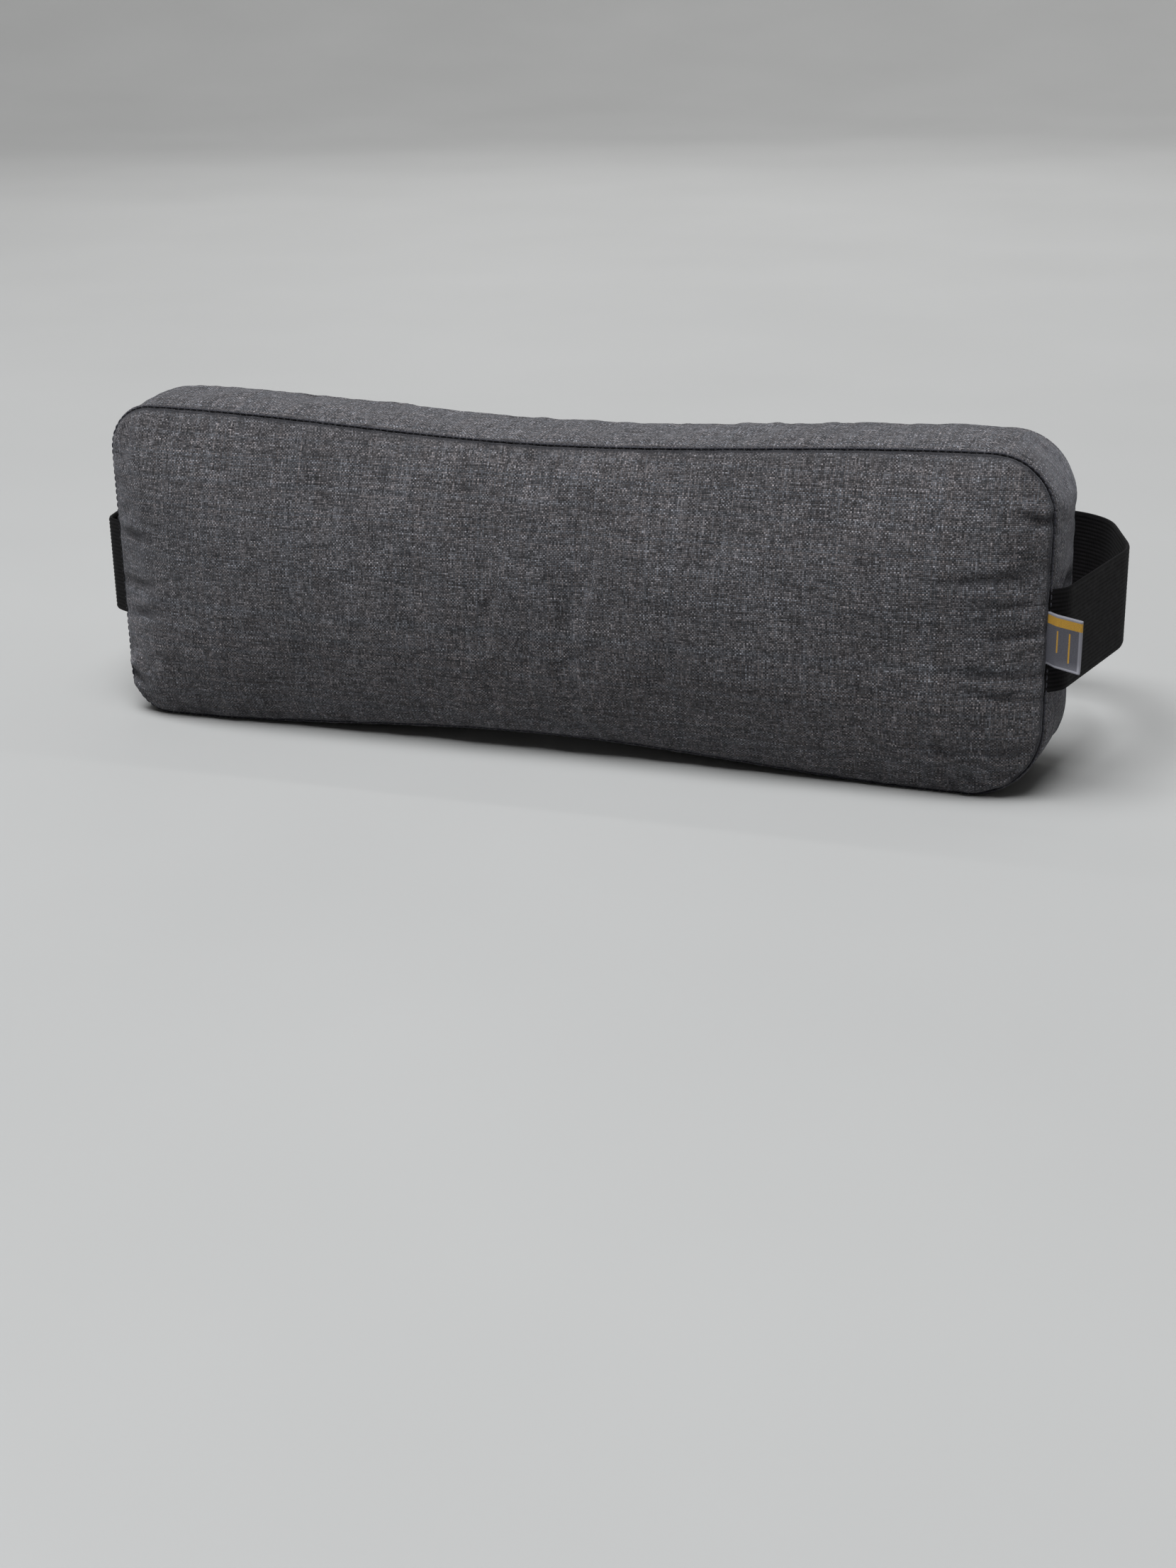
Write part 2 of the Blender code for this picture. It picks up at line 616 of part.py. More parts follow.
def make_zip_slider():
    """Two plates either side of the coil rows, a thin wedge between them, and a bail for the pull."""
    low_x, high_x = SLIDER_START_X - SLIDER_LENGTH / 2, SLIDER_START_X + SLIDER_LENGTH / 2
    half, sunk = SLIDER_HALF_WIDTH, 0.5 * MM
    outer = back_box(low_x, high_x, SLIDER_FACE, SLIDER_FACE + SLIDER_PLATE, -half, half)
    slider = box("zip_slider", *outer, ZIP_METAL, bevel=0.4 * MM)
    under = TAPE_FACE - TAPE_THICKNESS - GAP
    inner = back_box(low_x, high_x, under - SLIDER_PLATE, under, -half, half)
    join_box(slider, "inner_plate", *inner, bevel=0.4 * MM)
    wedge_x = low_x + 1 * MM
    wedge = back_box(wedge_x, wedge_x + 4 * MM, under - sunk, SLIDER_FACE + sunk, -GAP, GAP)
    join_box(slider, "wedge", *wedge)
    for label, sign in (("upper_lip", 1), ("lower_lip", -1)):
        lip = sorted((sign * (ROW_OUTER + 0.4 * MM), sign * (half - 0.1 * MM)))
        side = back_box(low_x + sunk, high_x - sunk, TAPE_FACE + 0.4 * MM, SLIDER_FACE + sunk, *lip)
        join_box(slider, label, *side)
    boolean(slider, make_bail(BACK_Y + SLIDER_FACE + SLIDER_PLATE / 2), "UNION")
    set_origin(slider, (SLIDER_START_X, BACK_Y, ZIP_Z))


def make_bail(foot_y):
    """The slider's arch, a bent strip whose feet are sunk in the outer plate."""
    low_x, high_x = SLIDER_START_X - BAIL_HALF_SPAN, SLIDER_START_X + BAIL_HALF_SPAN
    top, thickness = PULL_PIVOT_Y + 2.0 * MM, 1.0 * MM
    corners = [(low_x, foot_y, 0), (low_x, top, 1.2 * MM), (high_x, top, 1.2 * MM), (high_x, foot_y, 0)]
    low_z, high_z = ZIP_Z - 1 * MM, ZIP_Z + 1 * MM
    path = rounded_path(corners, step=30)
    return ribbon("zip_slider_bail_joined", path, low_z, high_z, thickness, None, CUTTERS)


def make_zip_pull():
    """A waisted tab with an eye. Its end bar lies under the bail, on the axis that the pull turns on."""
    bar, far = PULL_HALF_THICKNESS, -PULL_LENGTH
    half_outline = [(bar, 3.4 * MM, 0.7 * MM), (-8 * MM, 3.4 * MM, 4 * MM),
                    (-12 * MM, 2.3 * MM, 6 * MM), (far + 3 * MM, 3.7 * MM, 2.5 * MM),
                    (far, 2.6 * MM, 2.0 * MM)]
    corners = half_outline + [(x, -z, radius) for x, z, radius in reversed(half_outline)]
    tab = [(SLIDER_START_X + p[0], ZIP_Z + p[1]) for p in rounded_path(corners, step=30)]
    pull = as_mesh(plate("zip_pull", tab, PULL_PIVOT_Y - bar, PULL_PIVOT_Y + bar, ZIP_METAL))
    eye_half = 1.9 * MM
    eye_low = (SLIDER_START_X - 6.3 * MM, PULL_PIVOT_Y - CLEAR_THROUGH, ZIP_Z - eye_half)
    eye_high = (SLIDER_START_X - bar, PULL_PIVOT_Y + CLEAR_THROUGH, ZIP_Z + eye_half)
    cut_box(pull, "eye", eye_low, eye_high)
    set_origin(pull, (SLIDER_START_X, PULL_PIVOT_Y, ZIP_Z))


# ---------------------------------------------------------------- assembly

def main():
    make_front_panel()
    make_border_band()
    make_back_panels()
    make_seam_thread("seam_thread_front", SEAM_Y)
    make_seam_thread("seam_thread_back", BACK_THREAD_Y)
    make_inner_case()
    make_hull_filling()
    make_label()
    make_strap_right()
    make_strap_left()
    make_strap_keeper()
    make_buckle_socket()
    make_buckle_plug()
    make_buckle_arm("buckle_arm_upper", 1)
    make_buckle_arm("buckle_arm_lower", -1)
    make_zip_chain()
    make_zip_stops()
    make_zip_slider()
    make_zip_pull()


main()
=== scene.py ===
"""Looks of the lumbar cushion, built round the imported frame: melange cover, elastic, tag, zip and buckle."""
import math
import random

import bpy
import numpy as np
from mathutils import Matrix, Vector, noise
from mathutils.kdtree import KDTree


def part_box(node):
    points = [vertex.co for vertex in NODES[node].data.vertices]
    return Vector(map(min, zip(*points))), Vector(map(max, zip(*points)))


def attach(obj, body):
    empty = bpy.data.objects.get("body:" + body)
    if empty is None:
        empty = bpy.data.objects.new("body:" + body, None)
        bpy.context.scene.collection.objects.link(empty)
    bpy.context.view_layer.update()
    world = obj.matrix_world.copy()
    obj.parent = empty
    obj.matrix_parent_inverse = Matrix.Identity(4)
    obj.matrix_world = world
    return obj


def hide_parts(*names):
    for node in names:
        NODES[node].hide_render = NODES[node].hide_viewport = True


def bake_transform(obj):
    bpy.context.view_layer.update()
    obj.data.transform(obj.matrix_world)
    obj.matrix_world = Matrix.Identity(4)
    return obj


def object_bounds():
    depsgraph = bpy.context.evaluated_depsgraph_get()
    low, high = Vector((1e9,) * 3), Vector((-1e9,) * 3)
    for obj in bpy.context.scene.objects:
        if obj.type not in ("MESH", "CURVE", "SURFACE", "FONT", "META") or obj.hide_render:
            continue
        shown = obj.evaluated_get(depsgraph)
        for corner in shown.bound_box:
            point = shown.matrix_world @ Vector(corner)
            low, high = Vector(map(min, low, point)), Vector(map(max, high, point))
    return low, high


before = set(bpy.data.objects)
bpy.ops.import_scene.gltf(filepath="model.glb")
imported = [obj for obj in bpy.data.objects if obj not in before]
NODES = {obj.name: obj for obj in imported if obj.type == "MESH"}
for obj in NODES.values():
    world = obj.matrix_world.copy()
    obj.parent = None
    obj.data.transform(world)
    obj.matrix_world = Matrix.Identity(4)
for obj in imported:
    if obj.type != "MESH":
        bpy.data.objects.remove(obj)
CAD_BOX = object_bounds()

MM = 0.001
Y, Z = 1, 2


def middle(node, axis):
    """Middle of a node's box along an axis."""
    low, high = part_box(node)
    return (low[axis] + high[axis]) / 2


# ---- sizes read from the frame

SEAM_INSET = 0.4 * MM  # the CAD's panels end this far inside the seam line
SEAM_Y = middle("seam_thread_front", Y)
BACK_SEAM_Y = middle("seam_thread_back", Y)
BACK_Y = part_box("back_panel_upper")[1].y
CROWN = SEAM_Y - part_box("front_panel")[0].y
HALF_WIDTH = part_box("back_panel_upper")[1].x + SEAM_INSET
TOP_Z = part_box("back_panel_upper")[1].z + SEAM_INSET
MIDDLE_Z = TOP_Z / 2
SPINE = HALF_WIDTH - MIDDLE_Z  # the dome's long middle line ends here
STRAP_Z = middle("strap_right", Z)
STRAP_HALF = (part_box("strap_right")[1].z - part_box("strap_right")[0].z) / 2
BUCKLE_Y = middle("buckle_socket", Y)
ZIP_Z = (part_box("zip_coil_lower")[0].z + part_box("zip_coil_upper")[1].z) / 2
ZIP_HALF_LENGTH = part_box("zip_coil_upper")[1].x
STOP_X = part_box("zip_stop_right")[0].x
TAG_LOW, TAG_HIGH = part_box("label")

# The cushion's outline, as in the CAD
CORNER_RADII = {"top_right": 0.024, "top_left": 0.020, "bottom_left": 0.018, "bottom_right": 0.030}
PULL_TOP = 0.0065
PULL_BOTTOM = 0.0075
BAND_BULGE = 3.0 * MM
DOME_MIDDLE = 0.12
DOME_POWER = 0.62

# The swelling of the cover
START_CROWN = 0.90  # share of the crown before the filling swells it
START_BULGE = 0.55
SWELL_CAP = 6.0 * MM
SIM_STEP = 4.0 * MM
SIM_FRAMES = 20
LINER_CLEARANCE = 1.4 * MM  # the front stays within this of the CAD's dome, clear of the liner
BAND_CLEARANCE = 1.5 * MM
BACK_CROWN = 1.2 * MM
BACK_RISE = 3.5 * MM
FLOOR_GAP = 0.15 * MM
CLOTH_THICKNESS = 0.35 * MM

# Seams and the cover's finished mesh
EDGE_ROLL = 0.9 * MM  # how far a panel's edge turns in, which shows the seam from the side
STEP = 1.4 * MM
EDGE_ROWS = [0.0, 0.10, 0.30, 0.60, 1.0, 1.6, 2.5, 3.8, 5.4, 7.0]  # mm from a seam
BAND_ROWS = [0.0, 0.2, 0.45, 0.7, 0.95, 1.2, 1.5, 1.9, 2.4, 3.0, 3.7, 4.6, 5.8]
MOUTH_HALF = 5.12 * MM  # from the zip's middle to the back's folded edge
MOUTH_SHUT = 0.12 * MM  # the same beyond the stops, where the edges meet
HEM_WIDTH = 7.0  # mm
HEM_STITCH_LINE = 3.2  # mm from the folded edge

# Strap, as in the CAD
STRAP_THICKNESS = 1.6 * MM
LAYER_STEP = 2.0 * MM
OVER_BAR = 2.7 * MM
STRAP_TURN = 1.8 * MM
SHELL_LENGTH = 37 * MM
REAR_Y = BUCKLE_Y - OVER_BAR
LEFT_RUN_Y = REAR_Y - LAYER_STEP
SEWN_END_X = 0.086
TAIL_END_X = -0.150
RIBS = 24
PATH_STEP = 2.6 * MM
TIGHT_STEP = 0.42 * MM
TIGHT_BEND = 250  # turn per metre above which the strap's mesh is finer

# Stitches: pitch, length, thread radius and arch
SEAM_STITCH = (2.9 * MM, 2.72 * MM, 0.38 * MM, 0.18 * MM)
HEM_STITCH = (3.0 * MM, 2.3 * MM, 0.26 * MM, 0.16 * MM)
BOX_STITCH = (2.6 * MM, 2.1 * MM, 0.24 * MM, 0.18 * MM)
STITCH_RINGS = 7
STITCH_SIDES = 8

# A zip tooth's sections in mm: from the row's meeting line, half width, half thickness
TOOTH = [(0.28, 0.52, 0.62), (0.50, 0.62, 0.86), (0.95, 0.60, 0.90), (1.6, 0.40, 0.90),
         (2.5, 0.38, 0.90), (2.85, 0.34, 0.80), (3.0, 0.20, 0.45)]
TOOTH_SIDES = 10
TOOTH_PITCH = 1.30 * MM


# ---- arrays of points

def joined(*parts):
    """Coordinates or labels given one by one, as one array of points."""
    return np.stack(np.broadcast_arrays(*parts), axis=-1)


def unit(vectors):
    return vectors / np.linalg.norm(vectors, axis=-1, keepdims=True)


def share(values):
    """Values kept between 0 and 1."""
    return np.clip(values, 0, 1)


def soft_limit(values, limit):
    return limit * np.tanh(values / limit)


def run_length(points):
    steps = np.linalg.norm(np.diff(points, axis=0), axis=1)
    return np.concatenate([[0.0], np.cumsum(steps)])


def read_at(places, known, values):
    """Columns of values at known places, read at other places."""
    return joined(*[np.interp(places, known, column) for column in values.T])


def along(points, shares):
    """Points at the given shares of a run's length."""
    length = run_length(points)
    return read_at(np.asarray(shares) * length[-1], length, points)


# ---- the outline

def arc(centre, radius, start, end, steps=48):
    angles = np.radians(np.linspace(start, end, steps + 1))
    return joined(centre[0] + radius * np.cos(angles), centre[1] + radius * np.sin(angles))


def corner_centre(name, inset):
    """Centre of a rounded corner, and its radius."""
    radius = CORNER_RADII[name]
    x = HALF_WIDTH - radius if name.endswith("right") else radius - HALF_WIDTH
    z = TOP_Z - radius if name.startswith("top") else radius
    return (x, z), radius - inset


def long_edge(x_start, x_end, level, pull):
    """The top or bottom edge, drawn in between its corners."""
    x = np.linspace(x_start, x_end, 601)
    across = (x - (x_start + x_end) / 2) / (x_end - x_start)
    return joined(x, level - pull * np.cos(np.pi * across) ** 2)


def outline_sides(inset=0.0):
    """The edge as four runs of (x, z) points, each from the middle of one rounded corner to the next.

    Bottom and top run left to right, left and right run upwards."""
    (br, br_r), (tr, tr_r) = corner_centre("bottom_right", inset), corner_centre("top_right", inset)
    (tl, tl_r), (bl, bl_r) = corner_centre("top_left", inset), corner_centre("bottom_left", inset)
    bottom = [arc(bl, bl_r, 225, 270), long_edge(bl[0], br[0], inset, -PULL_BOTTOM), arc(br, br_r, 270, 315)]
    top = [arc(tl, tl_r, 135, 90), long_edge(tl[0], tr[0], TOP_Z - inset, PULL_TOP), arc(tr, tr_r, 90, 45)]
    left = [arc(bl, bl_r, 225, 180), arc(tl, tl_r, 180, 135)]
    right = [arc(br, br_r, -45, 0), arc(tr, tr_r, 0, 45)]
    return [np.vstack(run) for run in (bottom, top, left, right)]


def closed_outline():
    """The whole edge, anticlockwise from the bottom left corner, its first point repeated at its end."""
    bottom, top, left, right = outline_sides()
    return np.vstack([bottom, right[1:], top[::-1][1:], left[::-1][1:]])


def outward(points):
    """Unit normals in the XZ plane of an anticlockwise edge whose first point is repeated at its end."""
    before, after = np.roll(points, 1, axis=0), np.roll(points, -1, axis=0)
    before[0], after[-1] = points[-2], points[1]
    tangent = unit(after - before)
    return joined(tangent[:, 1], -tangent[:, 0])


EDGE = closed_outline()
EVEN_EDGE = along(EDGE, np.linspace(0, 1, 2400))  # with points on its straight stretches too


def edge_distance(points):
    """How far (x, z) points lie from the outline."""
    tree = KDTree(len(EDGE))
    for i, (x, z) in enumerate(EDGE):
        tree.insert((x, z, 0.0), i)
    tree.balance()
    last = len(EDGE) - 1
    result = np.empty(len(points))
    for k, (x, z) in enumerate(points):
        i = tree.find((x, z, 0.0))[1]
        best = 1.0
        for a, b in (((i - 1) % last, i), (i, (i + 1) % last)):
            run = EDGE[b] - EDGE[a]
            size = run @ run
            part = 0.0 if size < 1e-16 else min(1.0, max(0.0, ((x, z) - EDGE[a]) @ run / size))
            best = min(best, math.dist((x, z), EDGE[a] + run * part))
        result[k] = best
    return result


def edge_lookup(x, z):
    """Share of the way from the spine to the outline, 0 on the spine and 1 at the edge."""
    bottom, top = outline_sides()[:2]
    half = np.where(z > MIDDLE_Z, np.interp(x, *top.T) - MIDDLE_Z, MIDDLE_Z - np.interp(x, *bottom.T))
    scale = np.abs(z - MIDDLE_Z) / half
    for sign in (-1, 1):
        rim = EVEN_EDGE[sign * EVEN_EDGE[:, 0] >= SPINE - 1e-9] * (sign, 1) - (SPINE, MIDDLE_Z)
        turn = np.arctan2(rim[:, 1], rim[:, 0])
        order = np.argsort(turn)
        beyond, up = sign * x - SPINE, z - MIDDLE_Z
        reach = np.interp(np.arctan2(up, beyond), turn[order], np.hypot(*rim[order].T))
        scale = np.where(beyond > 0, np.hypot(beyond, up) / reach, scale)
    return share(scale)


# ---- grids and patches

def graded(length, edge_rows=EDGE_ROWS):
    """Shares from 0 to 1, close together at both ends and even between them."""
    rows = np.array(edge_rows) * MM / length
    count = max(2, round((1 - 2 * rows[-1]) * length / STEP))
    even = np.linspace(rows[-1], 1 - rows[-1], count + 1)
    return np.concatenate([rows[:-1], even, 1 - rows[:-1][::-1]])


def coons(bottom, top, left, right, u, v):
    """A patch between four edge runs, as (rows up, columns across, 2)."""
    low, high = along(bottom, u)[None], along(top, u)[None]
    start, end = along(left, v)[:, None], along(right, v)[:, None]
    u, v = u[None, :, None], v[:, None, None]
    corners = ((1 - u) * (1 - v) * bottom[0] + u * (1 - v) * bottom[-1]
               + (1 - u) * v * top[0] + u * v * top[-1])
    return (1 - v) * low + v * high + (1 - u) * start + u * end - corners


def cloth_lengths(grid):
    """Lengths measured along the cloth from the grid's middle row and column, for its weave."""
    across = np.linalg.norm(np.diff(grid, axis=1), axis=2)
    upward = np.linalg.norm(np.diff(grid, axis=0), axis=2)
    u = np.pad(np.cumsum(across, axis=1), ((0, 0), (1, 0)))
    v = np.pad(np.cumsum(upward, axis=0), ((1, 0), (0, 0)))
    row, column = grid.shape[0] // 2, grid.shape[1] // 2
    u = u - u[:, column, None] + grid[:, column, None, 0]
    v = v - v[row] + grid[row, :, 2]
    return u, v


def grid_faces(rows, columns, flip=False):
    index = np.arange(rows * columns).reshape(rows, columns)
    quads = np.stack([index[:-1, :-1], index[:-1, 1:], index[1:, 1:], index[1:, :-1]], axis=-1).reshape(-1, 4)
    return quads[:, ::-1] if flip else quads


def tube_faces(rings, sides, flip=False):
    """Faces of a tube through rings of points, with a cap on each end. flip turns its outside over."""
    faces = []
    for ring in range(0, (rings - 1) * sides, sides):
        for side in range(sides):
            a, b = ring + side, ring + (side + 1) % sides
            faces.append((a, b, b + sides, a + sides))
    faces.append(tuple(reversed(range(sides))))
    faces.append(tuple(range((rings - 1) * sides, rings * sides)))
    return [face[:1] + face[:0:-1] for face in faces] if flip else faces


def repeated(faces, points, count):
    """The faces of one piece of so many points, for a row of equal pieces."""
    return [tuple(i + n * points for i in face) for n in range(count) for face in faces]


def add_object(name, data):
    obj = bpy.data.objects.new(name, data)
    bpy.context.scene.collection.objects.link(obj)
    return obj


def mesh_object(name, points, faces):
    mesh = bpy.data.meshes.new(name)
    faces = [tuple(map(int, face)) for face in faces]
    mesh.from_pydata(np.asarray(points).reshape(-1, 3).tolist(), [], faces)
    mesh.shade_smooth()
    return add_object(name, mesh)


def store(obj, name, values):
    """Keeps one vector for each vertex, for the materials to read."""
    layer = obj.data.attributes.new(name, "FLOAT_VECTOR", "POINT")
    layer.data.foreach_set("vector", np.asarray(values, np.float32).reshape(-1))


def store_wear_and_painted_shade(obj, seam_distance, creased=0.0):
    """How rubbed the cloth is by its seams, and how much painted shade goes where it lies deep in their
    grooves and in creases.
    """
    rubbed = share(1 - seam_distance / (4 * MM))
    # Painted shade where the cloth lies deep in the seam's groove; below it, painted shade in the creases
    groove_painted_shade = share(1.5 - seam_distance / (0.7 * MM))
    crease_painted_shade = share(-creased / (0.9 * MM))
    store(obj, "wear_and_painted_shade", joined(rubbed, groove_painted_shade, crease_painted_shade))


def vertex_array(obj):
    points = np.empty(len(obj.data.vertices) * 3, np.float32)
    obj.data.vertices.foreach_get("co", points)
    return points.reshape(-1, 3).astype(float)


def move_to(obj, points):
    obj.data.vertices.foreach_set("co", points.astype(np.float32).ravel())
    obj.data.update()


def push(obj, heights):
    """Moves each vertex along its normal."""
    normals = np.empty(len(obj.data.vertices) * 3, np.float32)
    obj.data.vertex_normals.foreach_get("vector", normals)
    move_to(obj, vertex_array(obj) + normals.reshape(-1, 3) * heights[:, None])


def thicken(obj, thickness, offset=-1.0):
    shell = obj.modifiers.new("cloth_thickness", "SOLIDIFY")
    shell.thickness = thickness
    shell.offset = offset


def lumps(points, size, depth, seed):
    """Smooth unevenness of the given size and depth at each point."""
    shift = Vector((seed * 7.1, seed * 3.7, seed * 5.3))
    return depth * np.array([noise.noise(Vector(p) / size + shift) for p in points])


# ---- cloth simulation

def swell(name, grid, held, pressure, slack, flip):
    """Lets a sheet be pushed out by its filling, its held points fixed, and returns how each point moved.

    slack is how much longer the cloth is than the form it starts on; flip turns its outside over."""
    obj = mesh_object(name, grid, grid_faces(*held.shape, flip))
    group = obj.vertex_groups.new(name="held")
    group.add([int(i) for i in np.flatnonzero(held.ravel())], 1.0, "REPLACE")
    cloth = obj.modifiers.new("cloth", "CLOTH")
    settings = cloth.settings
    settings.quality = 7
    settings.mass = 0.3
    settings.tension_stiffness = settings.compression_stiffness = 20
    settings.shear_stiffness = 8
    settings.bending_stiffness = 0.6
    settings.vertex_group_mass = "held"
    settings.shrink_min = -slack
    settings.use_pressure = True
    settings.uniform_pressure_force = pressure
    settings.effector_weights.gravity = 0
    cloth.point_cache.frame_start = 1
    cloth.point_cache.frame_end = SIM_FRAMES
    scene = bpy.context.scene
    scene.frame_start, scene.frame_end = 1, SIM_FRAMES
    for number in range(1, SIM_FRAMES + 1):
        scene.frame_set(number)
    depsgraph = bpy.context.evaluated_depsgraph_get()
    shift = vertex_array(obj.evaluated_get(depsgraph)).reshape(grid.shape) - grid
    scene.frame_set(1)
    mesh = obj.data
    bpy.data.objects.remove(obj)
    bpy.data.meshes.remove(mesh)
    size = np.linalg.norm(shift, axis=2, keepdims=True)
    return shift * np.minimum(1.0, SWELL_CAP / np.maximum(size, 1e-9))


def spline_weights(positions, count):
    """Catmull-Rom weights that read a row of count samples at fractional positions."""
    weights = np.zeros((len(positions), count))
    for row, position in enumerate(positions):
        cell = min(int(position), count - 2)
        t = position - cell
        terms = (-0.5 * t + t * t - 0.5 * t**3, 1 - 2.5 * t * t + 1.5 * t**3,
                 0.5 * t + 2 * t * t - 1.5 * t**3, -0.5 * t * t + 0.5 * t**3)
        for k, term in enumerate(terms):
            weights[row, min(count - 1, max(0, cell - 1 + k))] += term
    return weights


def swollen(name, form, u, v, size, pressure, slack, flip=False, held_rows=1):
    """The sheet form(u, v), moved as a simulation of it on an even grid moves."""
    sheet = form(u, v)
    counts = [round(length / SIM_STEP) + 1 for length in size]
    grid = form(*[np.linspace(0, 1, count) for count in counts])
    held = np.ones(grid.shape[:2], bool)
    held[held_rows:-held_rows, held_rows:-held_rows] = False
    shift = swell(name, grid, held, pressure, slack, flip)
    across, upward = [spline_weights(shares * (count - 1), count) for shares, count in zip((u, v), counts)]
    return sheet + np.einsum("ij,jkc,lk->ilc", upward, shift, across)


# ---- creases

def creases(points, marks):
    """Depth at (x, z) points of small puckers. A mark is (x, z, direction, length, width, depth)."""
    depth = np.zeros(len(points))
    for x, z, direction, length, width, deep in marks:
        way = np.array([math.cos(math.radians(direction)), math.sin(math.radians(direction))])
        local = points - (x, z)
        run = local @ way / length
        off = local @ np.array([-way[1], way[0]]) / width
        swell_out = np.sin(np.pi * share((run + 0.15) / 1.15)) ** 0.8
        taper = np.where((run > -0.15) & (run < 1), swell_out, 0)
        depth += deep * taper * (-np.exp(-off**2) + 0.45 * np.exp(-(np.abs(off) - 1.7)**2))
    return depth


def seam_puckers(seed, count, depth):
    """Small creases that start all along the seam and run in from it."""
    rng = random.Random(seed)
    length = run_length(EDGE)
    normals = outward(EDGE)
    marks = []
    for k in range(count):
        i = int(np.searchsorted(length, (k + rng.uniform(0.1, 0.9)) / count * length[-1]))
        i = min(i, len(EDGE) - 1)
        inward = math.degrees(math.atan2(-normals[i][1], -normals[i][0])) + rng.uniform(-28, 28)
        marks.append((*EDGE[i], inward, rng.uniform(6, 17) * MM, rng.uniform(1.6, 3.2) * MM,
                      depth * rng.uniform(0.3, 1.0)))
    return marks


# The deeper ones by the strap and in the lower right corner: metres, degrees
STRAP_PUCKERS = [
    (0.198, 0.093, 186, 0.042, 0.0024, 0.00096),
    (0.199, 0.080, 178, 0.030, 0.0020, 0.00088),
    (0.199, 0.069, 184, 0.024, 0.0020, 0.00072),
    (0.199, 0.052, 176, 0.036, 0.0024, 0.00088),
    (0.198, 0.042, 170, 0.030, 0.0022, 0.00080),
    (0.190, 0.010, 158, 0.040, 0.0026, 0.00096),
    (0.180, 0.004, 140, 0.030, 0.0024, 0.00088),
    (0.168, 0.0015, 118, 0.022, 0.0024, 0.00080),
    (0.196, 0.020, 176, 0.050, 0.0030, 0.00072),
    (-0.199, 0.083, -4, 0.026, 0.0024, 0.00080),
    (-0.199, 0.060, 3, 0.022, 0.0020, 0.00064),
    (-0.199, 0.046, 8, 0.030, 0.0024, 0.00080),
]


# ---- the cover

def front_form(u, v, crown):
    flat = coons(*outline_sides(SEAM_INSET), u, v)
    scale = edge_lookup(flat[..., 0], flat[..., 1])
    dome = ((1 - scale**2) / (1 - DOME_MIDDLE**2)) ** DOME_POWER
    return joined(flat[..., 0], SEAM_Y - crown * np.minimum(dome, 1.0), flat[..., 1])


def roll_in(points, forward, reach, sink, towards):
    """Turns a panel's last millimetres into its seam."""
    amount = share(1 - forward / reach) ** 2
    way = joined(np.clip(points[..., 0], -SPINE, SPINE), MIDDLE_Z) - points[..., [0, 2]]
    way /= np.maximum(np.linalg.norm(way, axis=-1, keepdims=True), 1e-6)
    points[..., [0, 2]] += way * (EDGE_ROLL * amount)[..., None]
    points[..., 1] += towards * sink * amount
    return points


def make_front_cover():
    """The stuffed front, swollen by its filling, with its edge rolled into the seam."""
    u, v = graded(2 * HALF_WIDTH), graded(TOP_Z)
    grid = swollen("front_sheet", lambda a, b: front_form(a, b, CROWN * START_CROWN), u, v,
                   (2 * HALF_WIDTH, TOP_Z), pressure=4.0, slack=0.012)
    full = front_form(u, v, CROWN)
    grid[..., 1] = full[..., 1] + soft_limit(grid[..., 1] - full[..., 1], LINER_CLEARANCE)
    weave = joined(*cloth_lengths(grid), 0.0)
    grid = roll_in(grid, SEAM_Y - grid[..., 1], 3.0 * MM, 0.35 * MM, 1)
    cover = mesh_object("front_cover", grid, grid_faces(*grid.shape[:2]))
    store(cover, "weave", weave / MM)
    flat = grid[..., [0, 2]].reshape(-1, 2)
    distance = edge_distance(flat)
    inside = share(distance / (4 * MM))
    points = vertex_array(cover)
    heights = creases(flat, seam_puckers(3, 96, 0.45 * MM) + STRAP_PUCKERS)
    # Keeps rub wear by the seams, and painted shade for their groove and for the creases
    store_wear_and_painted_shade(cover, distance - EDGE_ROLL, heights)
    heights += lumps(points, 0.032, 0.9 * MM, 1) * inside
    heights += lumps(points, 0.012, 0.26 * MM, 2) * inside
    push(cover, heights * share(inside * 2.5))
    thicken(cover, CLOTH_THICKNESS)
    return cover


def band_normals(u):
    length = run_length(EDGE)
    return unit(read_at(u, length / length[-1], outward(EDGE)))


def band_form(u, v, bulge):
    """The gusset round all four sides: u along the edge, v from the front seam to the back one."""
    swell_by = bulge * (1 - (2 * v - 1) ** 4)
    spot = along(EDGE, u) + band_normals(u) * (swell_by - SEAM_INSET)[:, None, None]
    return joined(spot[..., 0], (SEAM_Y + (BACK_SEAM_Y - SEAM_Y) * v)[:, None], spot[..., 1])


def ridge(distance):
    """The rolled seam allowance beside a seam and the turn into it, from the distance to it in mm."""
    crest = 0.72 * np.exp(-((distance - 1.25) / 0.70) ** 2)
    dip = -0.34 * np.exp(-((distance - 3.2) / 1.1) ** 2)
    roll = -1.35 * share(1 - distance / 0.95) ** 2
    return crest + dip, roll


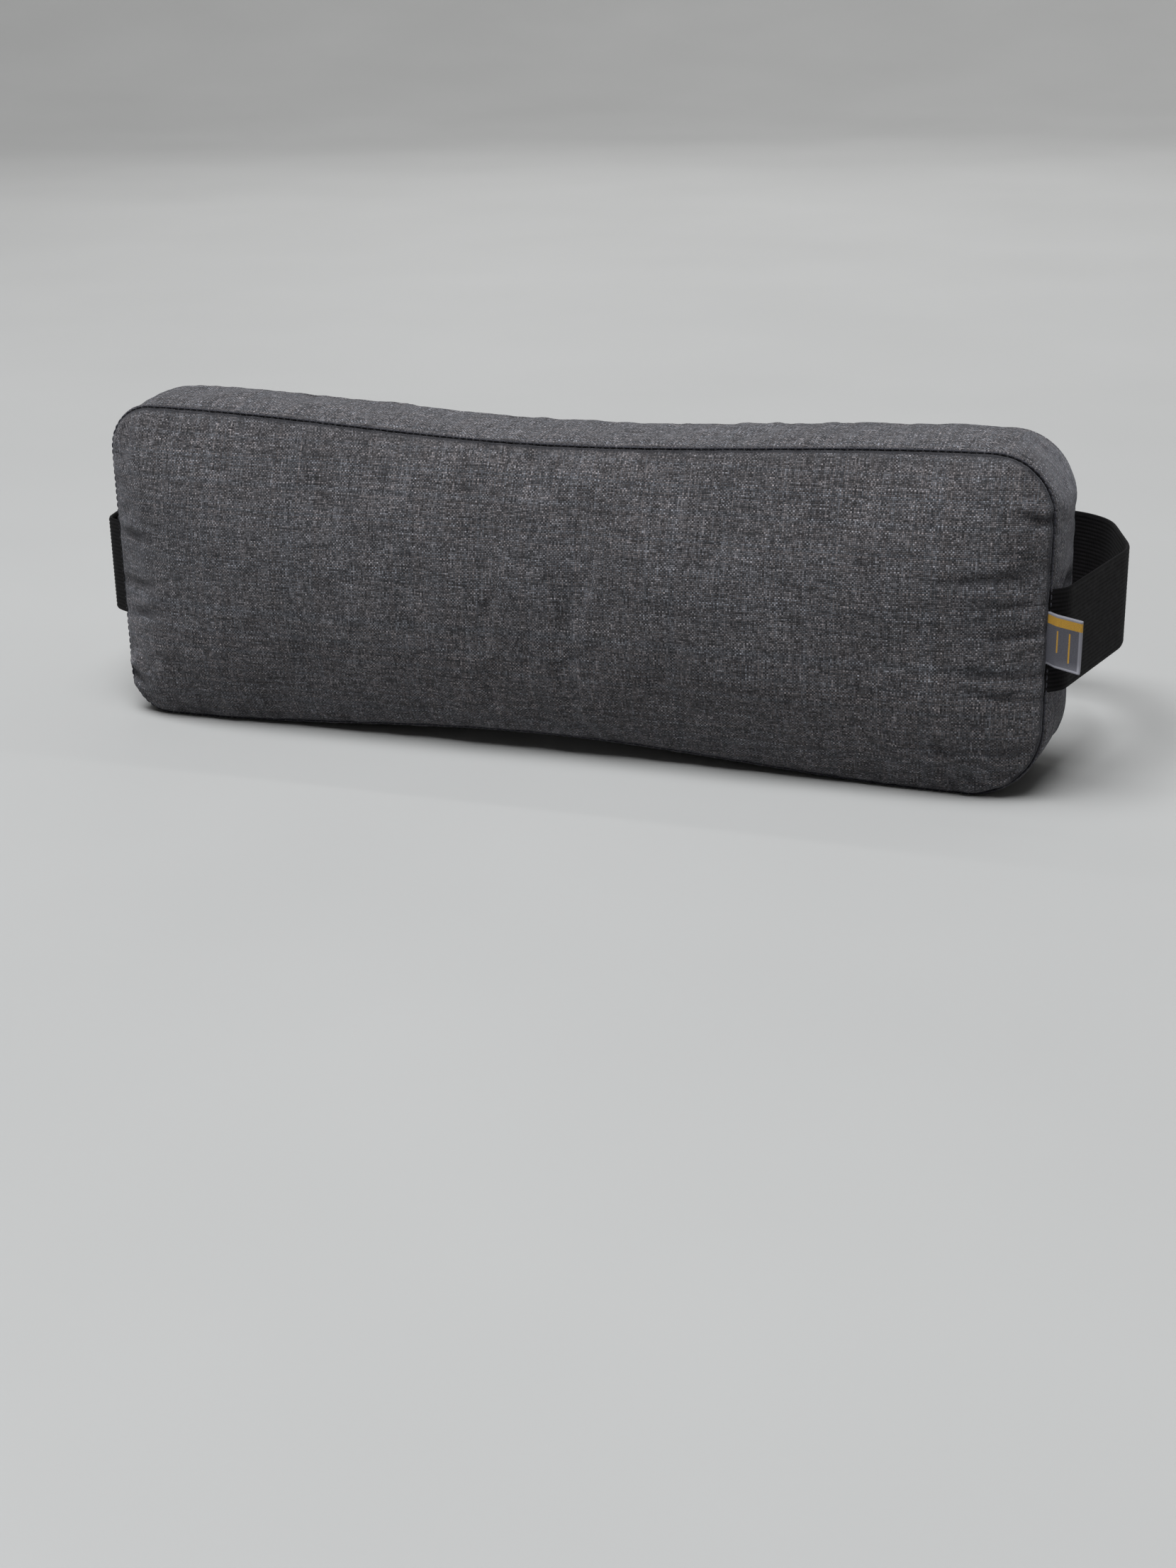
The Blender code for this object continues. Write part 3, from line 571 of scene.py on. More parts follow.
def make_gusset():
    """The border band, with a rolled ridge beside each seam and a wavy swell between them."""
    perimeter = run_length(EDGE)[-1]
    width = BACK_SEAM_Y - SEAM_Y
    u = np.linspace(0, 1, round(perimeter / STEP) + 1)
    v = graded(width, BAND_ROWS)
    full = band_form(u, v, BAND_BULGE)
    weave = joined(u * perimeter, full[..., 1], 0.2)
    grid = swollen("gusset_sheet", lambda a, b: band_form(a, b, BAND_BULGE * START_BULGE), u, v,
                   (perimeter, width), pressure=3.0, slack=0.012, flip=True)
    grid = full + soft_limit(grid - full, BAND_CLEARANCE)
    by_end = np.abs(grid[..., 0]) > HALF_WIDTH - 8 * MM
    by_strap = by_end & (np.abs(grid[..., 2] - STRAP_Z) < STRAP_HALF + 3 * MM)
    normals = band_normals(u)
    for distance, strength in ((grid[..., 1] - SEAM_Y, 1.0), (BACK_SEAM_Y - grid[..., 1], 0.6)):
        bump, roll = ridge(distance / MM)
        amount = (bump * np.where(by_strap, 0.15, 1.0) * strength + roll) * MM
        grid[..., [0, 2]] += normals * amount[..., None]
    gusset = mesh_object("gusset", grid, grid_faces(*grid.shape[:2], flip=True))
    store(gusset, "weave", weave / MM)
    near = np.minimum(np.abs(grid[..., 1] - SEAM_Y), np.abs(BACK_SEAM_Y - grid[..., 1])).ravel()
    inside = share(near / (5 * MM))
    # Keeps rub wear by the seams, and painted shade for their grooves
    store_wear_and_painted_shade(gusset, near)
    points = vertex_array(gusset)
    push(gusset, lumps(points, 0.040, 1.3 * MM, 5) * inside + lumps(points, 0.014, 0.35 * MM, 6) * inside)
    points = vertex_array(gusset)
    points[:, 2] = np.maximum(points[:, 2], FLOOR_GAP)
    move_to(gusset, points)
    thicken(gusset, CLOTH_THICKNESS)
    return gusset


def mouth_edge(x, side):
    """The folded edge of the back beside the zip, which closes beyond the stops."""
    t = share((STOP_X + 13 * MM - np.abs(x)) / (11 * MM))
    return ZIP_Z + side * (MOUTH_SHUT + (MOUTH_HALF - MOUTH_SHUT) * t * t * (3 - 2 * t))


def back_runs(side):
    """Edge runs of the back above the zip (side 1) or below it (side -1)."""
    bottom, top, left, right = outline_sides(SEAM_INSET)
    x = np.linspace(left[:, 0].min(), right[:, 0].max(), 900)
    mouth = joined(x, mouth_edge(x, side))
    level = mouth[0, 1]

    def cut(run):
        cut_point = (np.interp(level, run[:, 1], run[:, 0]), level)
        if side > 0:
            return np.vstack([cut_point, run[run[:, 1] > level]])
        return np.vstack([run[run[:, 1] < level], cut_point])

    left, right = cut(left), cut(right)
    return (mouth, top, left, right) if side > 0 else (bottom, mouth, left, right)


def back_form(side, u, v):
    flat = coons(*back_runs(side), u, v)
    fullness = share(16 * u * (1 - u) * (v * (1 - v))[:, None]) ** 0.5 if side > 0 else 0.0
    return joined(flat[..., 0], BACK_Y - 0.2 * MM + BACK_CROWN * fullness, flat[..., 1])


def hem_lift(hem, x):
    """How far the back stands proud by the zip, from the distance to its folded edge in mm."""
    open_part = share((STOP_X + 12 * MM - np.abs(x)) / (6 * MM))
    lift = 0.45 * share((HEM_WIDTH - hem) / 0.8) - 1.5 * share(1 - hem / 0.8) ** 2
    lift -= 0.28 * np.exp(-((hem - HEM_STITCH_LINE) / 0.55) ** 2)
    return (lift * open_part - (1 - open_part) * 0.8 * np.exp(-(hem / 1.1) ** 2)) * MM


def make_back_cover(side):
    """The back above or below the zip: hemmed and topstitched by the zip, rolled into the seam elsewhere."""
    height = TOP_Z - ZIP_Z if side > 0 else ZIP_Z
    u, v = graded(2 * HALF_WIDTH), graded(height)
    if side > 0:
        grid = swollen("back_sheet", lambda a, b: back_form(side, a, b), u, v, (2 * HALF_WIDTH, height),
                       pressure=1.6, slack=0.006, flip=True, held_rows=2)
        rise = grid[..., 1] - BACK_Y
        grid[..., 1] = BACK_Y + rise * min(1.0, BACK_RISE / rise.max())
    else:
        grid = back_form(side, u, v)
    weave = joined(*cloth_lengths(grid), 0.4)
    flat = grid[..., [0, 2]].reshape(-1, 2)
    distance = edge_distance(flat)
    grid = roll_in(grid, distance.reshape(grid.shape[:2]), 1.6 * MM, 1.4 * MM, -1)
    hem = np.abs(grid[..., 2] - mouth_edge(grid[..., 0], side)) / MM
    grid[..., 1] += hem_lift(hem, grid[..., 0])
    name = "back_cover_upper" if side > 0 else "back_cover_lower"
    cover = mesh_object(name, grid, grid_faces(*grid.shape[:2], flip=True))
    store(cover, "weave", weave / MM)
    # Keeps rub wear by the seams, and painted shade for their groove
    store_wear_and_painted_shade(cover, distance)
    hem = hem.ravel()
    inside = share(distance / (4 * MM))
    heights = lumps(vertex_array(cover), 0.035, 0.7 * MM, 8 + side) * share((hem - HEM_WIDTH) / 12) * inside
    heights += creases(flat, seam_puckers(11 + side, 70, 0.25 * MM)) * inside * share((hem - 3) / 6)
    push(cover, heights)
    thicken(cover, CLOTH_THICKNESS)
    return cover


# ---- stitches

def stitch_row(name, path, lifts, stitch):
    """A row of separate stitches along a 3-D path. lifts are the directions that each stitch arches in."""
    pitch, length, radius, arch = stitch
    total = run_length(path)
    count = max(1, int(total[-1] / pitch))
    shares = np.linspace(-1, 1, STITCH_RINGS)
    thickness = radius * np.sqrt(np.maximum(0.06, 1 - np.abs(shares) ** 3.5))
    angles = np.radians(np.arange(STITCH_SIDES) * 360 / STITCH_SIDES)
    points = []
    for centre in (np.arange(count) + 0.5) * (total[-1] / count):
        line = read_at(centre + shares / 2 * length, total, path)
        up = unit(read_at(centre, total, lifts))
        side = np.cross(unit(line[-1] - line[0]), up)
        ring = np.outer(np.cos(angles), side) + np.outer(np.sin(angles), up)
        middles = line + up * (arch * (1 - shares**2))[:, None]
        points.append(middles[:, None] + thickness[:, None, None] * ring)
    faces = tube_faces(STITCH_RINGS, STITCH_SIDES)
    return mesh_object(name, points, repeated(faces, STITCH_RINGS * STITCH_SIDES, count))


def seam_stitches(name, y, inset, towards):
    """Thread in a seam's groove, all round the cushion."""
    edge = along(EDGE, np.linspace(0, 1, 1600))
    normals = outward(edge)
    place = edge - normals * inset
    return stitch_row(name, joined(place[:, 0], y, place[:, 1]),
                      joined(normals[:, 0], towards, normals[:, 1]), SEAM_STITCH)


def rear_stitches(name, x, y, z, stitch):
    """Stitches on a face that looks to the rear."""
    path = joined(x, y, z)
    return stitch_row(name, path, np.tile([0.0, 1.0, 0.0], (len(path), 1)), stitch)


def hem_stitches(side):
    """Topstitching beside the zip."""
    x = np.linspace(-STOP_X - 4 * MM, STOP_X + 4 * MM, 400)
    name = "hem_stitches_upper" if side > 0 else "hem_stitches_lower"
    z = mouth_edge(x, side) + side * HEM_STITCH_LINE * MM
    return rear_stitches(name, x, BACK_Y + 0.03 * MM, z, HEM_STITCH)


def boxed_stitches():
    """The crossed box that holds the right strap's end down."""
    y = REAR_Y + LAYER_STEP + STRAP_THICKNESS / 2 - 0.05 * MM
    near, far = SEWN_END_X - 17 * MM, SEWN_END_X - 3 * MM
    low, high = STRAP_Z - 16 * MM, STRAP_Z + 16 * MM
    corners = [(near, low), (far, low), (far, high), (near, high),
               (near, low), (far, high), (far, low), (near, high)]
    x, z = along(np.array(corners), np.linspace(0, 1, 1200)).T
    return rear_stitches("strap_box_stitches", x, y, z, BOX_STITCH)


# ---- webbing

def rounded_corner(before, corner, after, radius):
    """Points of the arc that turns from one straight run into the next."""
    corner = Vector(corner)
    back, on = (Vector(before) - corner).normalized(), (Vector(after) - corner).normalized()
    turn = math.pi - back.angle(on)
    centre = corner + (back + on).normalized() * (radius / math.cos(turn / 2))
    first = corner + back * (radius * math.tan(turn / 2)) - centre
    side = 1 if back.cross(on) < 0 else -1
    pieces = max(8, round(math.degrees(turn) / 6))
    return [centre + Matrix.Rotation(side * turn * k / pieces, 2) @ first for k in range(pieces + 1)]


def rounded_path(corners):
    """A path in a plane through (a, b, radius) corners, with its points closer together in tight bends."""
    points = [corners[0][:2]]
    for before, corner, after in zip(corners, corners[1:], corners[2:]):
        points += rounded_corner(before[:2], corner[:2], after[:2], corner[2])
    path = np.array([tuple(point) for point in points + [corners[-1][:2]]])
    length = run_length(path)
    heading = np.unwrap(np.arctan2(*np.diff(path, axis=0).T[::-1]))
    bend = np.abs(np.diff(heading)) / np.maximum(np.diff(length)[1:], 1e-6)
    stops = [0.0]
    while stops[-1] < length[-1]:
        ahead = np.interp(stops[-1] + 0.3 * MM, length[1:-1], bend)
        stops.append(stops[-1] + (TIGHT_STEP if ahead > TIGHT_BEND else PATH_STEP))
    stops[-1] = length[-1]
    return along(path, np.array(stops) / length[-1])


def webbing_section():
    """Closed cross-section of ribbed elastic as (across, through) points."""
    steps = RIBS * 4
    edge = 0.5 * MM
    half = STRAP_HALF - edge
    rib = np.abs(np.sin(np.linspace(0, RIBS * np.pi, steps + 1))) ** 0.7
    outer = joined(np.linspace(-half, half, steps + 1), (STRAP_THICKNESS / 2) * (0.74 + 0.26 * rib))
    side = arc((0.0, 0.0), 1.0, 60, -60, 4)
    end = joined(half + edge * side[:, 0], STRAP_THICKNESS / 2 * 0.74 * side[:, 1])
    return np.vstack([outer, end, outer[::-1] * (1, -1), end * (-1, -1)])


def make_webbing(name, corners):
    path = rounded_path(corners)
    tangent = unit(np.gradient(path, axis=0))
    across, through = webbing_section().T
    sideways = joined(-tangent[:, 1], tangent[:, 0])
    x, y = np.moveaxis(path[:, None] + sideways[:, None] * through[:, None], -1, 0)
    strap = mesh_object(name, joined(x, y, STRAP_Z + across), tube_faces(len(path), len(across), flip=True))
    strap.data.set_sharp_from_angle(angle=math.radians(60))
    store(strap, "webbing", joined(run_length(path)[:, None], across, through) / MM)
    return strap


def strap_side(sign, rear_y):
    """Corners of the strap's path from its seam, out over the gusset and round the backrest's edge."""
    start = HALF_WIDTH + 0.7 * MM
    stand_off = 4.6 * MM if sign > 0 else 7.4 * MM
    return [(sign * (start - 1.6 * MM), SEAM_Y - 0.1 * MM, 0),
            (sign * (start + stand_off), SEAM_Y + 5 * MM, 8 * MM),
            (sign * 0.2205, SEAM_Y + 0.072, 0.035),
            (sign * 0.2035, rear_y, 0.030)]


def make_straps():
    over = BUCKLE_Y + OVER_BAR
    turn_x = SHELL_LENGTH + 4.7 * MM
    right = make_webbing("webbing_right", strap_side(1, REAR_Y) + [
        (turn_x, REAR_Y, STRAP_TURN), (turn_x, over, STRAP_TURN),
        (SHELL_LENGTH + 16 * MM, over, 4 * MM),
        (SHELL_LENGTH + 26 * MM, REAR_Y + LAYER_STEP, 4 * MM),
        (SEWN_END_X, REAR_Y + LAYER_STEP, 0)])
    inner_slot, outer_slot = -18.5 * MM, -29.5 * MM
    left = make_webbing("webbing_left", strap_side(-1, LEFT_RUN_Y) + [
        (inner_slot, LEFT_RUN_Y, STRAP_TURN), (inner_slot, over, STRAP_TURN),
        (outer_slot, over, STRAP_TURN), (outer_slot, LEFT_RUN_Y + LAYER_STEP, 1.2 * MM),
        (TAIL_END_X, LEFT_RUN_Y + LAYER_STEP, 0)])
    return right, left


# ---- tag

def make_tag():
    """The folded tag: out of the seam, round its fold and back, with a curled lower edge."""
    spread = 0.55 * MM  # half the gap between its two layers
    face_y = (TAG_LOW.y + TAG_HIGH.y) / 2
    fold_x = TAG_HIGH.x - 0.9 * MM
    out = [(HALF_WIDTH - 1.2 * MM, SEAM_Y - 0.5 * MM), (HALF_WIDTH + 0.6 * MM, SEAM_Y - 1.7 * MM),
           (HALF_WIDTH + 3.0 * MM, face_y - spread), (fold_x, face_y - spread)]
    fold = [(fold_x + 0.6 * MM * math.sin(a), face_y - spread * math.cos(a))
            for a in np.radians([30, 60, 90, 120, 150])]
    back = [(x, y + (2 * spread if x > HALF_WIDTH + 2 * MM else spread)) for x, y in reversed(out)]
    path = along(np.array(out + fold + back), np.linspace(0, 1, 61))
    x, y = path.T
    rows = np.linspace(-0.5, 0.5, 41)[:, None]
    width = TAG_HIGH.z - TAG_LOW.z - 2.4 * MM
    low = np.maximum(0.0, -rows - 0.28) / 0.22
    reach = np.maximum(0.0, (x - HALF_WIDTH) / (TAG_HIGH.x - HALF_WIDTH))
    curl = -1.3 * MM * low**2 * reach**0.7
    wave = 0.22 * MM * np.sin(5.0 * rows + 1.0) * reach
    droop = 2.4 * MM * np.maximum(0.0, x - TAG_LOW.x) / (TAG_HIGH.x - TAG_LOW.x)
    z = TAG_HIGH.z - width / 2 + rows * width - droop + 0.5 * MM * low**2
    tag = mesh_object("seam_tag", joined(x, y + curl + wave, z), grid_faces(len(rows), len(path)))
    store(tag, "weave", joined(run_length(path), rows * width, 0.0) / MM)
    thicken(tag, 0.30 * MM, 0.0)
    return tag


# ---- zip teeth

def make_zip_teeth(side):
    """One row of the coil: rounded teeth whose heads meet the other row's in turn."""
    name = "zip_teeth_upper" if side > 0 else "zip_teeth_lower"
    z, half_x, half_y = np.array(TOOTH).T[..., None]
    angles = np.radians(np.arange(TOOTH_SIDES) * 360 / TOOTH_SIDES)
    tooth = joined(half_x * np.cos(angles), half_y * np.sin(angles), side * z).reshape(-1, 3) * MM
    end = ZIP_HALF_LENGTH - 0.8 * MM
    places = np.arange(-end + (0.0 if side > 0 else TOOTH_PITCH / 2), end, TOOTH_PITCH)
    points = tooth + joined(places, BACK_Y, ZIP_Z)[:, None]
    faces = tube_faces(len(TOOTH), TOOTH_SIDES, flip=side < 0)
    return mesh_object(name, points, repeated(faces, len(tooth), len(places)))


# ---- materials

def arithmetic(operation):
    return lambda self, other=0.0: self.nodes.math(operation, self, other)


class Value:
    """What a node puts out. Arithmetic with it adds math nodes."""

    __add__ = arithmetic("ADD")
    __sub__ = arithmetic("SUBTRACT")
    __mul__ = arithmetic("MULTIPLY")
    __truediv__ = arithmetic("DIVIDE")
    __mod__ = arithmetic("MODULO")
    __abs__ = arithmetic("ABSOLUTE")

    def __init__(self, nodes, socket):
        self.nodes = nodes
        self.socket = socket

    def __rsub__(self, other):
        return self.nodes.math("SUBTRACT", other, self)


class Nodes:
    """Builds one material's node tree. Inputs may be numbers, colours or values."""

    def __init__(self, name):
        self.material = bpy.data.materials.new(name)
        self.material.use_nodes = True
        self.tree = self.material.node_tree
        self.shader = self.tree.nodes["Principled BSDF"]

    def node(self, kind, inputs, **settings):
        node = self.tree.nodes.new("ShaderNode" + kind)
        for key, value in settings.items():
            setattr(node, key, value)
        for key, value in inputs.items():
            self.put(node.inputs[key], value)
        return node

    def add(self, kind, inputs, output=0, **settings):
        return Value(self, self.node(kind, inputs, **settings).outputs[output])

    def put(self, socket, value):
        if isinstance(value, Value):
            self.tree.links.new(value.socket, socket)
        elif isinstance(value, tuple) and len(value) == 3 and socket.type == "RGBA":
            socket.default_value = (*value, 1.0)
        else:
            socket.default_value = value

    def math(self, operation, a, b=0.0):
        return self.add("Math", {0: a, 1: b}, operation=operation)

    def vector(self, x, y, z=0.0):
        return self.add("CombineXYZ", {0: x, 1: y, 2: z})

    def parts(self, vector):
        split = self.node("SeparateXYZ", {0: vector})
        return [Value(self, socket) for socket in split.outputs]

    def attribute(self, name):
        """The three parts of a vector stored on the mesh."""
        return self.parts(self.add("Attribute", {}, "Vector", attribute_name=name))

    def place(self, scale=None):
        """Where on the object a point is, in metres or scaled along each axis."""
        place = self.add("TexCoord", {}, "Object")
        return self.add("Mapping", {"Vector": place, "Scale": scale}) if scale else place

    def noise(self, vector, scale=1.0, detail=2.0, roughness=0.5):
        return self.add("TexNoise",
                        {"Vector": vector, "Scale": scale, "Detail": detail, "Roughness": roughness})

    def random(self, value):
        return self.add("TexWhiteNoise", {"W": value}, noise_dimensions="1D")

    def spread(self, value, low, high, to_low=0.0, to_high=1.0):
        return self.add("MapRange", {"Value": value, "From Min": low, "From Max": high,
                                               "To Min": to_low, "To Max": to_high})

    def vary(self, noise, low=0.0, high=1.0):
        """A noise, spread over a range."""
        return self.spread(noise, 0.3, 0.7, low, high)

    def ramp(self, value, stops):
        node = self.node("ValToRGB", {0: value})
        elements = node.color_ramp.elements
        while len(elements) < len(stops):
            elements.new(0.5)
        for element, (place, colour) in zip(elements, stops):
            element.position = place
            element.color = (*colour, 1.0)
        return Value(self, node.outputs[0])

    def mix(self, amount, a, b, blend="MIX"):
        return self.add("Mix", {0: amount, 6: a, 7: b}, 2, data_type="RGBA", blend_type=blend)

    def shaded(self, colour, light):
        """A colour made lighter or darker; here it paints shade on a weave's relief."""
        return self.mix(1.0, colour, self.vector(light, light, light), "MULTIPLY")

    def blend_values(self, amount, a, b):
        return self.add("Mix", {0: amount, 2: a, 3: b}, data_type="FLOAT")

    def bump(self, height, distance, strength=1.0):
        normal = self.add("Bump", {"Height": height, "Distance": distance, "Strength": strength})
        self.put(self.shader.inputs["Normal"], normal)

    def finish(self, colour, roughness, **uniform):
        self.put(self.shader.inputs["Base Color"], colour)
        self.put(self.shader.inputs["Roughness"], roughness)
        for key, value in uniform.items():
            self.shader.inputs[key.replace("_", " ")].default_value = value
        return self.material


def yarn(n, place, pitch):
    """Index of the yarn at a place, and how high its round back stands there, 0 to 1."""
    turns = place / pitch
    off_centre = n.math("FRACT", turns) - 0.5
    return n.math("FLOOR", turns), 1.0 - off_centre * off_centre * 4.0


def plain_weave(n, u, v, pitch):
    """Share of warp on top (0 or 1), relief, and the warp and weft indices."""
    warp, warp_high = yarn(n, u, pitch)
    weft, weft_high = yarn(n, v, pitch)
    over = abs(warp + weft) % 2.0
    across = n.blend_values(over, weft_high, warp_high)
    length = n.blend_values(over, warp_high, weft_high)
    return over, across * 0.65 + length * 0.35, warp, weft


def yarn_tone(n, index, place, offset):
    """How light a yarn is along its length: short fibres, and now and then a long dark or pale stretch."""
    seed = n.random(index + offset) * 300.0
    fibre = n.noise(n.vector(seed, place * 0.36), 1.0, 4.0, 0.72)
    stretch = n.noise(n.vector(seed + 40.0, place * 0.065), 1.0, 1.0)
    dark = n.spread(stretch, 0.35, 0.42, -0.11, 0.0)
    pale = n.spread(stretch, 0.60, 0.67, 0.0, 0.08)
    return fibre + (dark + pale)


MELANGE_PITCH = 0.72  # mm between yarns
MELANGE_SHADES = [(0.0, 0.014), (0.32, 0.036), (0.50, 0.088), (0.70, 0.205), (1.0, 0.48)]


def melange(name, tone):
    """Heathered grey cloth: each yarn changes between dark and light along its length, with painted shade
    between yarns, in seam grooves and in creases.
    """
    n = Nodes(name)
    u, v, panel = n.attribute("weave")
    place = n.vector(u, v, panel)
    drift = n.noise(place, 0.035) * 1.4
    over, relief, warp, weft = plain_weave(n, u + drift, v + drift, MELANGE_PITCH)
    fibre = n.blend_values(over, yarn_tone(n, weft, u, 517.0), yarn_tone(n, warp, v, 0.0))
    crossing = n.add("TexWhiteNoise", {"Vector": n.vector(warp, weft, panel)}, noise_dimensions="3D")
    own = (crossing - 0.5) * 0.08 + (over - 0.5) * -0.06
    fleck = n.noise(n.vector(u * 2.6, v * 2.6, panel), 1.0, 1.0)
    broad = n.vary(n.noise(place, 0.011, 3.0), -0.012, 0.012)
    value = fibre * 0.88 + fleck * 0.12 + own + broad
    stops = [(spot, (shade * tone, shade * tone * 0.975, shade * tone * 1.03))
             for spot, shade in MELANGE_SHADES]
    cloth = n.ramp(n.spread(value, 0.23, 0.77), stops)
    tint = n.random(n.blend_values(over, weft, warp) * 3.7 + panel)
    cloth = n.mix(1.0, cloth, n.mix(tint, (1.07, 0.99, 0.95), (0.94, 1.0, 1.06)), "MULTIPLY")
    # Painted shade in the gaps between yarns, and lighter on their crowns, from the weave's relief
    cloth = n.shaded(cloth, n.spread(relief, 0.0, 0.75, 0.38, 1.20))
    rubbed, groove_painted_shade, crease_painted_shade = n.attribute("wear_and_painted_shade")
    worn = rubbed * n.spread(n.noise(place, 0.12, 3.0), 0.35, 0.7, 0.0, 0.32)
    cloth = n.mix(worn, cloth, (0.135, 0.132, 0.140))
    # Painted shade: the cloth darkened in the seam's groove and in creases, where shadow falls
    cloth = n.mix(n.math("MAXIMUM", groove_painted_shade * 0.85, crease_painted_shade * 0.5), cloth, (0.012, 0.012, 0.015))
    n.bump(relief, 0.22 * MM, 0.8)
    return n.finish(cloth, n.vary(fibre, 0.82, 0.95), Sheen_Weight=0.16, Sheen_Roughness=0.45,
                    Sheen_Tint=(0.88, 0.90, 1.0, 1.0), Specular_IOR_Level=0.22)


def thread_material(name, colour):
    """Twisted sewing thread, with painted shade in its twist's grooves and lighter crests."""
    n = Nodes(name)
    place = n.add("NewGeometry", {}, "Position")
    x, y, z = n.parts(place)
    twist = n.math("SINE", (x + y + z) * 9000.0)
    # A lighter copy of the thread's colour, for painted highlights on the twist's crests
    light = tuple(min(1.0, c * 2.1 + 0.004) for c in colour)
    n.bump(twist, 0.05 * MM, 0.6)
    # Painted shade and highlight: darker in the twist's grooves, lighter on its crests
    shade = n.mix(n.spread(twist, -1.0, 1.0), colour, light)
    return n.finish(shade, n.vary(n.noise(place, 400.0), 0.55, 0.75), Sheen_Weight=0.15)


def webbing_material():
    """Black elastic: knitted ribs along it and fine picks across it, a little dusty on the ribs, with painted
    shade in the valleys between them.
    """
    n = Nodes("ribbed_elastic")
    run, across, through = n.attribute("webbing")
    half = STRAP_HALF / MM - 0.5
    ribs = abs(n.math("SINE", (across + half) * (math.pi * RIBS / (2 * half))))
    pick = yarn(n, run + ribs * 0.22, 0.62)[1]
    dust = n.noise(n.vector(run, across, through), 0.35, 4.0, 0.6)
    # Dust on the rib tops, and painted shade that darkens the valleys between the ribs
    rib_dust_and_valley_shade = ribs * ribs * n.spread(dust, 0.35, 0.70, 0.35, 1.0)
    n.bump(pick * 0.6 + ribs * 0.4, 0.14 * MM, 0.8)
    return n.finish(n.mix(rib_dust_and_valley_shade, (0.0008, 0.0007, 0.0009), (0.0105, 0.0095, 0.0108)), n.vary(dust, 0.68, 0.86),
                    Sheen_Weight=0.015, Sheen_Roughness=0.5, Specular_IOR_Level=0.10)


def tag_material():
    """Woven tag: grey satin with paler edges, a gold band across its top and two gold lines below it."""
    n = Nodes("woven_tag")
    run, height, _ = n.attribute("weave")
    half = (TAG_HIGH.z - TAG_LOW.z) / MM / 2 - 1.2
    from_fold = abs(run - 14.6)
    speck = n.vary(n.noise(n.vector(run, height * 3.0), 1.6))

    def inside(value, low, high, soft=0.10):
        """1 between low and high, 0 outside them."""
        return n.spread(value, low - soft, low + soft) * n.spread(value, high - soft, high + soft, 1.0, 0.0)

    long_line = inside(from_fold, 4.3, 4.9) * inside(height, 3.5 - half, half - 6.0)
    short_line = inside(from_fold, 8.9, 9.4) * inside(height, 6.5 - half, half - 6.0)
    band = inside(height, half - 4.3, half - 0.9)
    selvedge = n.math("MAXIMUM", n.spread(abs(height), half - 1.15, half - 0.85),
                      n.spread(from_fold, 1.3, 1.0))
    grey = n.mix(speck, (0.040, 0.040, 0.052), (0.085, 0.085, 0.105))
    grey = n.mix(selvedge, grey, (0.205, 0.205, 0.235))
    gold = n.mix(speck, (0.33, 0.170, 0.008), (0.54, 0.300, 0.020))
    colour = n.mix(n.math("MAXIMUM", band, n.math("MAXIMUM", long_line, short_line)), grey, gold)
    relief = yarn(n, height, 0.26)[1] * 0.7 + yarn(n, run, 0.34)[1] * 0.3
    n.bump(relief, 0.08 * MM, 0.7)
    # Painted shade in the gaps between the tag's threads, a little lighter on their crowns
    colour = n.shaded(colour, n.spread(relief, 0.0, 0.9, 0.62, 1.08))
    return n.finish(colour, n.spread(speck, 0.0, 1.0, 0.48, 0.62), Sheen_Weight=0.2)


def worn_edges(n, cloud, edge_range, cloud_range):
    """Where an edge has been rubbed, in patches."""
    edge = n.add("NewGeometry", {}, "Pointiness")
    return n.spread(edge, *edge_range) * n.spread(cloud, *cloud_range)


def moulded_plastic():
    """Black acetal with a fine spark-eroded texture, rubbed paler on its edges."""
    n = Nodes("moulded_acetal")
    cloud = n.noise(n.place(), 90.0, 4.0, 0.55)
    scuff = n.noise(n.place((60.0, 60.0, 900.0)), 1.0, 3.0, 0.7)
    worn = worn_edges(n, cloud, (0.52, 0.60), (0.40, 0.62))
    shade = n.mix(n.vary(cloud), (0.0100, 0.0100, 0.0108), (0.0185, 0.0185, 0.0195))
    shade = n.mix(worn * 0.7, shade, (0.060, 0.060, 0.063))
    shade = n.mix(n.spread(scuff, 0.66, 0.74, 0.0, 0.35), shade, (0.055, 0.055, 0.058))
    n.bump(n.noise(n.place(), 2600.0, 3.0, 0.6), 0.05 * MM, 0.55)
    return n.finish(shade, n.vary(cloud, 0.36, 0.50) + worn * 0.12, Specular_IOR_Level=0.5)


def plated_metal():
    """Dark plating, brushed and worn through to brighter metal at its edges."""
    n = Nodes("dark_plating")
    cloud = n.noise(n.place(), 240.0, 4.0, 0.6)
    brushed = n.noise(n.place((300.0, 2500.0, 5200.0)))
    shade = n.mix(n.vary(cloud), (0.085, 0.085, 0.092), (0.150, 0.148, 0.152))
    shade = n.mix(worn_edges(n, cloud, (0.53, 0.62), (0.35, 0.6)), shade, (0.42, 0.40, 0.37))
    n.bump(brushed, 0.02 * MM, 0.35)
    return n.finish(shade, n.vary(brushed, 0.26, 0.42), Metallic=1.0)


def coil_material():
    """Dark nylon monofilament."""
    n = Nodes("nylon_coil")
    cloud = n.noise(n.place(), 700.0, 3.0)
    shade = n.mix(n.vary(cloud), (0.016, 0.016, 0.019), (0.038, 0.038, 0.043))
    n.bump(cloud, 0.03 * MM, 0.4)
    return n.finish(shade, n.vary(cloud, 0.24, 0.38), Coat_Weight=0.1)


